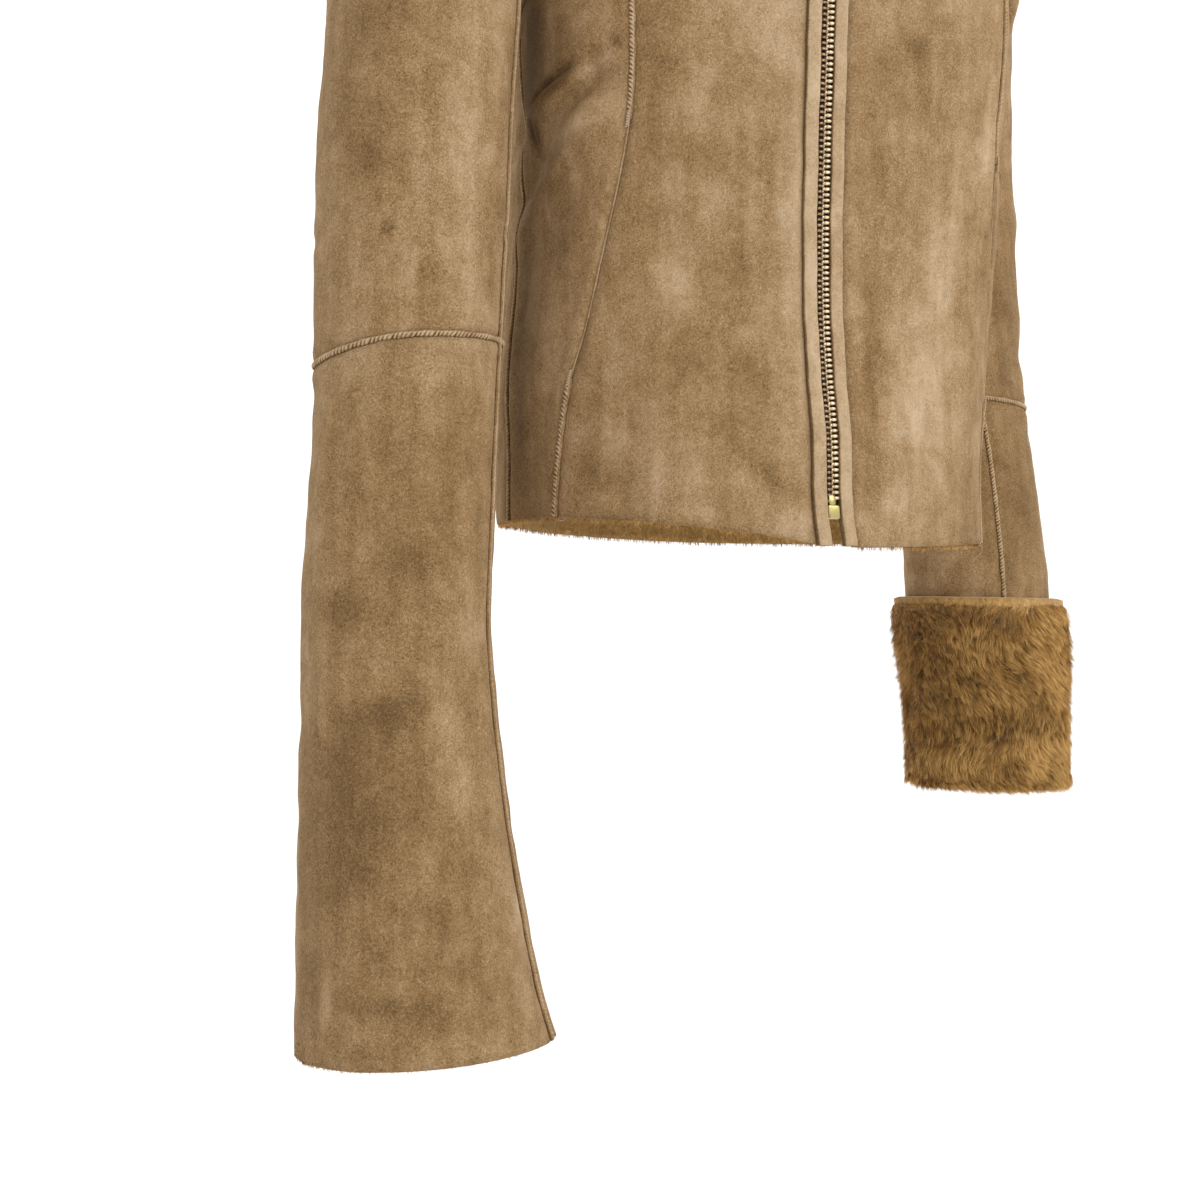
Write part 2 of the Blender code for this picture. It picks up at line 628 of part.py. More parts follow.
def sleeve_head(side, part, angle):
    """From the armhole out over the shoulder and down to the first level section."""
    start = on_armhole(side, angle, body)
    end = sleeve_section(side, UPPER_ARM, angle)
    reach = np.linalg.norm(end - start, axis=-1, keepdims=True)
    close = LEFT_CLOSE * (side > 0) * (1 - np.cos(angle))[..., None] / 2
    way = np.array([side * 1.0, 0, -0.42]) + close * np.array([-0.3 * side, 0, -0.58])
    leave = reach * (1.05 - 0.45 * close) * unit(
        way + 0.25 * on_armhole(side, angle, body_normal))
    arrive = reach * np.array([0, 0, -1.0])
    t = part
    return (start * (1 + t * t * (2 * t - 3)) + end * t * t * (3 - 2 * t)
            + leave * t * (1 - t) ** 2 + arrive * t * t * (t - 1))


def tube_normals(skin):
    """Outward normals of stacked rings."""
    round_way = np.roll(skin, -1, axis=1) - np.roll(skin, 1, axis=1)
    down = np.gradient(skin, axis=0)
    normal = unit(np.cross(round_way, down))
    outward = skin - skin.mean(axis=1, keepdims=True)
    if np.sum(normal * outward) < 0:
        normal = -normal
    return normal


def sleeve_folds(side, skin, angle):
    radius = 0.065
    folds = [((math.radians(a) * radius, b), (math.radians(c) * radius, d), width, lift)
             for which, a, b, c, d, width, lift in SLEEVE_FOLDS if which == side]
    position = np.stack([np.broadcast_to(angle * radius, skin.shape[:2]), skin[..., 2]], axis=-1)
    return fold_lift(position, folds)


def make_upper_sleeve(side, surface):
    angle = turns(side)
    elbow = ELBOW_SEAM[side]
    head = [0.0, 0.04, 0.14, 0.28, 0.44, 0.62, 0.80]
    levels = list(np.linspace(UPPER_ARM, elbow + RIB_WIDTH, 7)) + [elbow + GAP / 2]
    skin = np.array([sleeve_head(side, p, angle) for p in head]
                    + [sleeve_section(side, z, angle) for z in levels])
    normal = tube_normals(skin)
    normal[0] = unit(on_armhole(side, angle, body_normal))
    normal[1] = unit(normal[0] + normal[2])
    skin = skin + normal * sleeve_folds(side, skin, angle)[..., None]
    skin[0] += 2.4 * step_inside(skin[0], normal[0])
    lift = np.zeros(skin.shape[:2]) + seam_lift(side, angle)
    lift[0] = lift[-1] = RIB_HEIGHT
    outer = skin + normal * lift[..., None]
    inner = skin - normal * WALL
    name = "upper_sleeve_left" if side > 0 else "upper_sleeve_right"
    return ring_wall(name, list(outer) + list(inner[::-1]), len(outer), surface)


def lower_rings(side, levels, angle):
    skin = np.array([sleeve_section(side, z, angle) for z in levels])
    normal = tube_normals(skin)
    skin = skin + normal * sleeve_folds(side, skin, angle)[..., None]
    return skin, normal


def make_lower_sleeve_right(surface):
    angle = turns(-1)
    elbow = ELBOW_SEAM[-1]
    levels = [elbow - GAP / 2] + list(np.linspace(elbow - RIB_WIDTH, RIGHT_MOUTH, 15))
    skin, normal = lower_rings(-1, levels, angle)
    lift = np.zeros(skin.shape[:2]) + seam_lift(-1, angle)
    lift[0] = RIB_HEIGHT
    outer = skin + normal * lift[..., None]
    inner = skin - normal * WALL
    return ring_wall("lower_sleeve_right", list(outer) + list(inner[::-1]), len(outer), surface)


def make_lower_sleeve_left(surface):
    """The turned-up sleeve: down to the fold, and back up outside itself with its pile out."""
    angle = turns(1)
    elbow = ELBOW_SEAM[1]
    levels = [elbow - GAP / 2] + list(np.linspace(elbow - RIB_WIDTH, CUFF_FOLD, 12))
    skin, normal = lower_rings(1, levels, angle)
    lift = np.zeros(skin.shape[:2]) + seam_lift(1, angle)
    lift[0] = RIB_HEIGHT
    outer = skin + normal * lift[..., None]
    inner = skin - normal * WALL

    def shell(height, offset):
        ring = sleeve_section(1, height, angle)
        flat = ring - ring.mean(axis=0)
        flat[:, 2] = 0
        return ring + unit(flat) * offset
    cloth = RIB_HEIGHT + CUFF_SLOT
    pile = cloth + CUFF_CLOTH + CUFF_PILE
    # (height, offset out of the sleeve) up the slot, over the cuff's edge and down its pile
    cuff = ((CUFF_FOLD, cloth), (-0.74, cloth), (CUFF_TOP + 0.001, cloth),
            (CUFF_TOP + 0.003, cloth + 0.4 * CUFF_PILE), (CUFF_TOP, pile - 3 * MM),
            (CUFF_TOP - 0.007, pile), (-0.70, pile), (-0.74, pile), (-0.785, pile + 1 * MM),
            (CUFF_FOLD + 0.004, pile), (CUFF_FOLD - 0.006, pile - 5 * MM),
            (CUFF_FOLD - 0.009, cloth), (CUFF_FOLD - 0.006, -0.5 * WALL))
    rings = list(outer) + [shell(z, offset) for z, offset in cuff] + list(inner[::-1])
    return ring_wall("lower_sleeve_left", rings, 0, surface)


# ---- zip ---------------------------------------------------------------------------------
def front_line():
    """Stations up the centre front, from the hem over the chest to the collar's top edge."""
    climbs = np.concatenate([np.linspace(hem_climb(0), -0.36, 5), np.linspace(-0.32, 0.064, 11)])
    points = list(body(0.0, climbs))
    across = [unit(body(0.03, c) - body(-0.03, c)) for c in climbs]
    out = list(body_normal(np.zeros(climbs.shape), climbs))
    neck = body(0.0, np.array(0.39 * ARM_RISE))
    ahead = unit(np.cross(across[-1], np.array([0, 0, 1.0])))
    for part, blend in ((0.16, 0.5), (0.58, 1.0), (1.0, 1.0)):
        points.append(collar_point(neck, part))
        across.append(across[-1])
        out.append(unit(out[-1] * (1 - blend) + ahead * blend))
    return list(zip(points, across, out))


def between(stations, start, end):
    """The stations whose heights lie in a range, with new ones at its two ends."""
    heights = [s[0][2] for s in stations]
    inside = [s for s in stations if start + 1e-4 < s[0][2] < end - 1e-4]

    def at(height):
        i = int(np.clip(np.searchsorted(heights, height), 1, len(heights) - 1))
        t = (height - heights[i - 1]) / (heights[i] - heights[i - 1])
        return tuple(a + (b - a) * t for a, b in zip(stations[i - 1], stations[i]))
    return [at(start)] + inside + [at(end)]


BAND_INNER = 6.2 * MM
BAND_OUTER = 14.4 * MM
BAND_RAISE = 2.5 * MM
TAPE_FRONT = -4.0 * MM
TAPE_BACK = -4.8 * MM
CHAIN_HALF = 4.5 * MM
CHAIN_FRONT = 0.6 * MM
LAYER = -3.6 * MM               # back of the chain and bands
BOX_TOP, BOX_BOTTOM = -0.5886, -0.5985
BOX_HALF = 4.6 * MM
SLIDER_HALF = 5.7 * MM
SLIDER_LENGTH = 17 * MM
BAIL_HALF = 1.0 * MM
HINGE_OUT = 4.9 * MM            # the pull tab's axis, out from the suede


def box_section(x0, x1, back, front):
    return ((x0, back), (x1, back), (x1, front), (x0, front))


def make_zip(stations, cloth, tape, brass, gold):
    top = stations[-1][0][2]
    slider_top = top - 1 * MM
    slider_bottom = slider_top - SLIDER_LENGTH
    for side, name in ((-1, "right"), (1, "left")):
        rounded = [(BAND_INNER, LAYER), (BAND_OUTER, LAYER), (BAND_OUTER, 0.6 * BAND_RAISE),
                   (BAND_OUTER - 1.8 * MM, BAND_RAISE), (BAND_INNER + 1.8 * MM, BAND_RAISE),
                   (BAND_INNER, 0.6 * BAND_RAISE)]
        swept_bar("zip_band_" + name, stations, [(side * a, d) for a, d in rounded], cloth)
        flat = box_section(side * 0.3 * MM, side * (BAND_OUTER - 0.4 * MM), TAPE_BACK, TAPE_FRONT)
        swept_bar("zip_tape_" + name, between(stations, BOX_BOTTOM, top), flat, tape)
    chain = box_section(-CHAIN_HALF, CHAIN_HALF, LAYER, CHAIN_FRONT)
    swept_bar("zip_chain", between(stations, BOX_TOP + GAP, slider_bottom - GAP), chain, brass)
    box = box_section(-BOX_HALF, BOX_HALF, LAYER, 1.6 * MM)
    swept_bar("zip_box", between(stations, BOX_BOTTOM, BOX_TOP), box, gold)
    make_slider(between(stations, slider_bottom, slider_top), brass)


def make_slider(ends, brass):
    """Slider with its bail, and the pull tab that hangs from it on a joint."""
    low, high = ends[0], ends[-1]
    middle = (low[0] + high[0]) / 2
    up = unit(high[0] - low[0])
    across = unit(high[1])
    out = unit(np.cross(up, across))
    if out[1] > 0:
        out = -out

    def place(a, z, d):
        return middle + across * a + up * z + out * d
    half = SLIDER_LENGTH / 2 - GAP
    bodywork = slab(place, box_outline(SLIDER_HALF, half), LAYER, 3.3 * MM)
    plate = add_object("zip_slider", *bodywork, brass)
    # side view of the bail: an arch whose feet sink into the slider's face
    arch = ((-7.0, 2.6), (-7.0, 4.6), (-5.2, 7.6), (5.2, 7.6), (7.0, 4.6), (7.0, 2.6),
            (5.6, 2.6), (5.4, 4.4), (4.4, 6.2), (-4.4, 6.2), (-5.4, 4.4), (-5.6, 2.6))
    points = [place(a, z * MM, d * MM) for a in (-BAIL_HALF, BAIL_HALF) for z, d in arch]
    count = len(arch)
    faces = [tuple(range(count)), tuple(count + i for i in reversed(range(count)))]
    faces += [(i, (i + 1) % count, count + (i + 1) % count, count + i) for i in range(count)]
    bail = add_object("bail_cutter", points, faces, brass)
    bail.hide_render = True
    bail.display_type = 'WIRE'
    join = plate.modifiers.new("bail", 'BOOLEAN')
    join.operation = 'UNION'
    join.object = bail
    make_pull_tab(place, middle + out * HINGE_OUT, brass)


def box_outline(half_across, half_up):
    return [(-half_across, -half_up), (half_across, -half_up),
            (half_across, half_up), (-half_across, half_up)]


def slab(place, outline, back, front):
    """Points and faces of a flat plate."""
    points = [place(a, z, d) for d in (back, front) for a, z in outline]
    count = len(outline)
    faces = [tuple(range(count)), tuple(count + i for i in reversed(range(count)))]
    faces += [(i, (i + 1) % count, count + (i + 1) % count, count + i) for i in range(count)]
    return points, faces


def make_pull_tab(place, hinge, brass):
    """Flat tab hanging from the bail, with a window that the bail passes through."""
    half_thick = 0.8 * MM
    outline = [(-3.6, 1.0), (3.6, 1.0), (3.8, -12), (4.4, -16), (4.4, -31), (2.4, -34),
               (-2.4, -34), (-4.4, -31), (-4.4, -16), (-3.8, -12)]
    window = [(-2.2, -0.8), (2.2, -0.8), (2.2, -9.4), (1.2, -10.2), (-1.2, -10.2), (-2.2, -9.4)]
    work = bmesh.new()
    loops = []
    for d in (HINGE_OUT - half_thick, HINGE_OUT + half_thick):
        for shape in (outline, window):
            loop = [work.verts.new(place(a * MM, z * MM, d)) for a, z in shape]
            loops.append([work.edges.new((p, q)) for p, q in zip(loop, loop[1:] + loop[:1])])
    bmesh.ops.triangle_fill(work, use_beauty=True, edges=loops[0] + loops[1])
    bmesh.ops.triangle_fill(work, use_beauty=True, edges=loops[2] + loops[3])
    bmesh.ops.bridge_loops(work, edges=loops[0] + loops[2])
    bmesh.ops.bridge_loops(work, edges=loops[1] + loops[3])
    bmesh.ops.recalc_face_normals(work, faces=work.faces)
    for vert in work.verts:
        vert.co -= Vector(hinge)
    mesh = bpy.data.meshes.new("pull_tab")
    work.to_mesh(mesh)
    work.free()
    mesh.materials.append(brass)
    tab = bpy.data.objects.new("pull_tab", mesh)
    tab.location = hinge
    bpy.context.scene.collection.objects.link(tab)
    return tab


def main():
    for old in list(bpy.data.objects):
        bpy.data.objects.remove(old, do_unlink=True)
    suede = material("suede", (0.34, 0.21, 0.11), 0.85)
    pile = material("pile", (0.42, 0.25, 0.11), 0.95)
    tape = material("zip_tape", (0.16, 0.11, 0.07), 0.9)
    brass = material("antique_brass", (0.35, 0.24, 0.13), 0.35, 1.0)
    gold = material("pale_brass", (0.78, 0.66, 0.32), 0.3, 1.0)
    for side in (-1, 1):
        make_front(side, suede)
        make_side_front(side, suede)
        make_upper_sleeve(side, suede)
    make_back(suede)
    make_collar(suede)
    make_lower_sleeve_right(suede)
    make_lower_sleeve_left(pile)
    make_zip(front_line(), suede, tape, brass, gold)


main()
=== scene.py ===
"""Looks of the zip-front shearling jacket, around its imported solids.

Laid out as a Blender add-on and run as a script: main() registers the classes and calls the
operators in order. Metres, +Z up, the front faces -Y and the left side, as
worn, is +X. The cloth follows the same surfaces as the solids, from the same named sizes.
"""

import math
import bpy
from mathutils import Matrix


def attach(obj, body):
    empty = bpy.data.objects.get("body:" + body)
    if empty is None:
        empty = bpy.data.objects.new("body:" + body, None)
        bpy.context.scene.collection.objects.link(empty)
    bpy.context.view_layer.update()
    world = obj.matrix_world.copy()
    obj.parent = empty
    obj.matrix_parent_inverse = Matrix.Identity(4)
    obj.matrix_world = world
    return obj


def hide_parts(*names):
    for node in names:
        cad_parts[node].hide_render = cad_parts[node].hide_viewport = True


bl_info = {
    "name": "Shearling jacket",
    "version": (1, 0, 0),
    "blender": (4, 5, 0),
    "location": "3D View > Sidebar > Jacket",
    "description": "Builds a suede shearling jacket with rope seams, a metal zip and a pile cuff",
    "category": "Add Mesh",
}

import bmesh
import bpy
import numpy as np
from bpy.props import FloatProperty, FloatVectorProperty, IntProperty, PointerProperty
from mathutils import Vector
from mathutils.kdtree import KDTree

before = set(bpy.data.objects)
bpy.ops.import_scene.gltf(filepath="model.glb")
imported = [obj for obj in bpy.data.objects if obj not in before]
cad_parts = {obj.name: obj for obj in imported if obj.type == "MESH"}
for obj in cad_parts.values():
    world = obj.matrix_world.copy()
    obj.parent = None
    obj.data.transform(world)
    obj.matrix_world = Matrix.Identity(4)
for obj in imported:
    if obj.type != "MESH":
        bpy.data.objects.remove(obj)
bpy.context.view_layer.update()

MM = 0.001
FULL_TURN = 2 * math.pi
DOWN, UP = np.array([0, 0, -1.0]), np.array([0, 0, 1.0])
JACKET, TAB = "jacket", "pull_tab"

# ---- spacing of the cloth's points -------------------------------------------------------
PANEL_STEP, WRINKLE_STEP = 4.5 * MM, 2.3 * MM    # a panel, and one that is wrinkled
BACK_STEP, SLEEVE_STEP = 5.2 * MM, 4.8 * MM
SEAM_ROWS = np.array([1.0, 2.2, 3.8, 6.0, 9.0]) * MM     # the closer rows beside a seam
SECTION_POINTS = 96                                      # round a sleeve

# ---- sizes shared with the solids --------------------------------------------------------
WALL = 5.4 * MM
UNDERARM = -0.205
ARM_RISE = 0.17
NECK_HALF, SHOULDER_HALF, SHOULDER_DROP, SHOULDER_ROUND = 0.072, 0.190, 0.045, 1.3
TURN_PIVOT = 0.137
PANEL_EDGE = 15.0 * MM
HEM_SWAY = 4 * MM                                # how far the front edges swing at the hem
SWAY_START, SWAY_HEIGHT, SWAY_HALF = -0.585, 0.032, 0.08
HEM_FRONT, HEM_SEAM, FLANK = 3.0, 64, 90         # degrees: a front's edge, its side seam, the side
COLLAR_HEIGHT = 0.050
NECK_ANGLE, TIP_ANGLE = 15.2, 71
NECK_CLIMB = 0.0663             # of the neckline at the centre front
BACK_SQUARE = 0.4
PRINCESS_JOIN, NECK_PART = 0.5, 0.5
LEFT_CLOSE = 1.0                # the left sleeve's head lies closer in than the right one's
UPPER_ARM = -0.240
ELBOW = {-1: -0.480, 1: -0.475}
RIGHT_MOUTH = -0.962
OUTER_SLACK = 0.002             # the right sleeve's cloth lies flatter on its outer side
ELBOW_SAG = 0.008               # the right elbow seam dips at its outer end
MOUTH_RISE = 0.0075             # the right mouth's front edge is higher than its sides
CUFF_TOP, CUFF_FOLD = -0.655, -0.814
SEAM_TURN = {-1: 25, 1: 81}
SIDE_NAME = {-1: "right", 1: "left"}
POCKET_TOP, POCKET_END = -0.319, -0.4975     # heights of the pocket opening's two bar tacks
BODY_RADIUS, SLEEVE_RADIUS = 0.165, 0.065    # mean ones, which turn a fold's degrees to metres
SEAM_SUNK = 0.6 * MM            # how deep a seam's rope sits in the cloth
WAVE_COUNT = 28                 # plane waves in one unevenness


def table(names, *rows):
    """Columns of a short table as arrays, looked up by their names."""
    return dict(zip(names, np.array(sorted(rows)).T))


def read(tab, name, at):
    """Smooth value of one column, with the first column as the position."""
    keys = next(iter(tab.values()))
    values = tab[name]
    step = np.diff(keys)
    slope = np.diff(values) / step
    tangent = np.concatenate([slope[:1], (slope[:-1] + slope[1:]) / 2, slope[-1:]])
    at = np.clip(np.asarray(at, float), keys[0], keys[-1])
    i = np.clip(np.searchsorted(keys, at) - 1, 0, len(step) - 1)
    t = (at - keys[i]) / step[i]
    a, b = values[i], values[i + 1]
    ta, tb = tangent[i] * step[i], tangent[i + 1] * step[i]
    return a + t * ta + t**2 * (3 * (b - a) - 2 * ta - tb) + t**3 * (2 * (a - b) + ta + tb)


BODY = table(
    ("height", "half_width", "front", "back", "square", "turn", "seam_right", "seam_left"),
    (-0.625, 0.197, 0.1408, 0.141, 2.00, 0.0, 0.1800, 0.1800),
    (-0.540, 0.196, 0.1381, 0.137, 2.00, 0.0, 0.1750, 0.1760),
    (-0.500, 0.198, 0.1318, 0.132, 2.10, -0.5, 0.1710, 0.1740),
    (-0.465, 0.197, 0.1272, 0.128, 2.20, -1.2, 0.1627, 0.1700),
    (-0.415, 0.194, 0.1245, 0.125, 2.40, -2.5, 0.1534, 0.1650),
    (-0.360, 0.192, 0.1255, 0.125, 2.60, -3.5, 0.1437, 0.1620),
    (-0.305, 0.192, 0.1285, 0.127, 2.70, -4.0, 0.1368, 0.1610),
    (-0.240, 0.195, 0.1330, 0.130, 2.80, -4.0, 0.1372, 0.1620),
    (-0.200, 0.196, 0.1345, 0.130, 2.80, -4.0, 0.1390, 0.1630))
HEM = table(
    ("angle", "height"),
    (-180, -0.602), (-90, -0.595), (-64, -0.596), (-40, -0.6008), (-15, -0.6094),
    (0, -0.6172), (20, -0.6164), (45, -0.6125), (64, -0.6094), (90, -0.606), (180, -0.602))


def behind(angle):
    """Degrees from the centre back, at the underarm's section, as far out as at the front."""
    front = BODY["square"][-1]
    back = 2 + (front - 2) * BACK_SQUARE
    return math.degrees(math.asin(math.sin(math.radians(angle)) ** (back / front)))


ARMHOLE = table(
    ("part", "front", "front_rise", "back", "back_rise"),
    (0.00, 90, 0.00, 90, 0.00), (0.25, 76, 0.07, 79, 0.07), (0.50, 62, 0.30, 69, 0.30),
    (0.75, 63, 0.62, 67, 0.62), (1.00, TIP_ANGLE, 1.00, behind(TIP_ANGLE), 1.00))
FRONT_TOP = table(
    ("part", "angle", "rise"),
    (0.00, 1.5, 0.39), (0.15, 7.5, 0.42), (0.32, 13.0, 0.60),
    (NECK_PART, NECK_ANGLE, 1.00), (0.75, 38, 1.00), (1.00, TIP_ANGLE, 1.00))
BACK_TOP = table(
    ("part", "angle", "rise"),
    (0.00, 0, 0.78), (0.25, 12, 0.84), (NECK_PART, behind(NECK_ANGLE), 1.00),
    (0.75, behind(38), 1.00), (1.00, behind(TIP_ANGLE), 1.00))

# Folds and creases: angle, height, angle, height, half width mm, lift mm; ridges are plus. The
# first ones are the solids' own worn folds, the others small creases that only the looks have.
BODY_FOLDS = (
    (-86, -0.345, -52, -0.285, 10, -5.0), (-84, -0.375, -50, -0.318, 16, 4.0),
    (-80, -0.305, -55, -0.262, 14, 3.0), (-44, -0.300, -30, -0.420, 20, -2.0),
    (24, -0.300, 34, -0.440, 20, -2.0), (38, -0.420, 48, -0.540, 18, 2.0),
    (-30, -0.480, -36, -0.600, 24, 2.5), (-104, -0.345, -106, -0.610, 36, 8.0),
    (-116, -0.250, -112, -0.340, 20, 6.0), (-97, -0.245, -92, -0.292, 9, -5.5),
    (84, -0.350, 58, -0.300, 14, -3.0),
    (150, -0.400, 118, -0.350, 16, -4.0), (152, -0.430, 116, -0.385, 18, 3.5),
    (-146, -0.410, -112, -0.360, 16, -4.5), (-150, -0.445, -114, -0.392, 18, 3.5),
    (166, -0.260, 160, -0.420, 22, -2.5), (-168, -0.250, -158, -0.430, 22, 2.5),
    (135, -0.480, 140, -0.602, 26, 4.0), (-132, -0.470, -138, -0.600, 26, 4.0),
    # small creases
    (-80, -0.284, -61, -0.275, 4, -4.6), (-84, -0.293, -56, -0.283, 4.5, 3.2),
    (-56, -0.283, -42, -0.270, 5, 1.6), (-45, -0.263, -39, -0.273, 3.5, -1.8),
    (-80, -0.325, -49, -0.307, 8, 3.0), (-83, -0.298, -79, -0.322, 3.5, -4.0),
    (-76, -0.368, -58, -0.340, 6, -1.4), (-82, -0.352, -66, -0.335, 4, -1.6),
    (-26, -0.538, -14, -0.572, 6, -0.9),
    (-20, -0.250, -12, -0.262, 6, -0.6), (58, -0.252, 74, -0.268, 5, -1.2),
    (70, -0.395, 86, -0.372, 6, -1.5), (124, -0.372, 142, -0.386, 5, -1.6),
    (-120, -0.382, -138, -0.398, 5, -1.6), (172, -0.330, 158, -0.345, 6, -1.0),
    (-172, -0.452, -160, -0.468, 6, -1.0), (100, -0.300, 116, -0.322, 6, -1.3),
    (-98, -0.305, -116, -0.328, 6, -1.3), (-110, -0.225, -108, -0.350, 22, 6.0),
    (-106, -0.420, -108, -0.600, 30, 1.8))

SLEEVE_COLUMNS = ("height", "x", "y", "across", "deep", "tilt")
SLEEVE = {-1: table(
    SLEEVE_COLUMNS,
    (-0.240, 0.2700, -0.0450, 0.0685, 0.062, 0.003),
    (-0.325, 0.2761, -0.0450, 0.0689, 0.061, 0.004),
    (-0.410, 0.2790, -0.0450, 0.0687, 0.058, 0.005),
    (-0.480, 0.2810, -0.0450, 0.0662, 0.056, 0.0065),
    (-0.600, 0.2869, -0.0476, 0.0660, 0.056, 0.0065),
    (-0.683, 0.2898, -0.0493, 0.0656, 0.057, 0.0065),
    (-0.780, 0.2868, -0.0513, 0.0713, 0.061, 0.006),
    (-0.863, 0.2810, -0.0530, 0.0784, 0.066, 0.003),
    (-0.933, 0.2741, -0.0544, 0.0863, 0.070, 0.000),
    (-0.973, 0.2680, -0.0550, 0.0930, 0.072, -0.001)), 1: table(
    SLEEVE_COLUMNS,
    (-0.240, 0.2490, 0.1000, 0.0660, 0.058, 0.003),
    (-0.300, 0.2520, 0.1000, 0.0660, 0.058, 0.004),
    (-0.383, 0.2518, 0.0908, 0.0660, 0.056, 0.004),
    (-0.475, 0.2493, 0.0803, 0.0665, 0.056, 0.003),
    (-0.525, 0.2549, 0.0751, 0.0665, 0.056, 0.003),
    (-0.562, 0.2569, 0.0700, 0.0670, 0.056, 0.003),
    (-0.618, 0.2640, 0.0700, 0.0670, 0.056, 0.002),
    (-0.660, 0.2675, 0.0700, 0.0675, 0.056, 0.001),
    (-0.740, 0.2745, 0.0690, 0.0620, 0.054, 0.000),
    (-0.835, 0.2770, 0.0680, 0.0620, 0.054, 0.000))}
# side, turn, height, turn, height, half width mm, lift mm: the solids' folds, then small creases
SLEEVE_FOLDS = (
    (-1, 150, -0.530, 146, -0.720, 12, 2.0), (-1, 60, -0.330, 110, -0.300, 14, 2.0),
    (-1, 40, -0.420, 95, -0.385, 12, -1.8), (-1, 165, -0.700, 120, -0.760, 9, -1.8),
    (-1, 250, -0.560, 235, -0.800, 16, 2.5), (-1, 290, -0.380, 330, -0.430, 12, -2.5),
    (1, 110, -0.330, 150, -0.300, 14, 2.0), (1, 130, -0.440, 170, -0.415, 12, -2.0),
    (1, 250, -0.500, 240, -0.630, 14, 2.0), (1, 300, -0.380, 330, -0.430, 12, -2.0),
    (-1, 128, -0.738, 158, -0.768, 3, -1.1), (-1, 140, -0.770, 162, -0.790, 3, -1.0),
    (-1, 78, -0.921, 66, -0.916, 3, -0.7), (-1, 70, -0.452, 100, -0.440, 6, -1.0),
    (-1, 200, -0.400, 240, -0.430, 6, -1.6), (-1, 205, -0.520, 240, -0.500, 6, -1.4),
    (-1, 300, -0.500, 330, -0.520, 6, -1.4), (-1, 20, -0.400, 350, -0.420, 6, -1.5),
    (1, 60, -0.420, 100, -0.400, 6, -1.2), (1, 100, -0.520, 140, -0.505, 6, -1.2),
    (1, 200, -0.400, 236, -0.430, 6, -1.6), (1, 210, -0.520, 250, -0.495, 6, -1.4),
    (1, 330, -0.380, 360, -0.400, 6, -1.5))

# The photograph's view. A place on it is (px, py), of a 1200 by 1200 picture.
EYE = Vector((-0.4129, -0.8858, -0.655))
LOOK_TURN = math.radians(18)
PICTURE = 1200
LENS, SENSOR = 36.0, 36.0

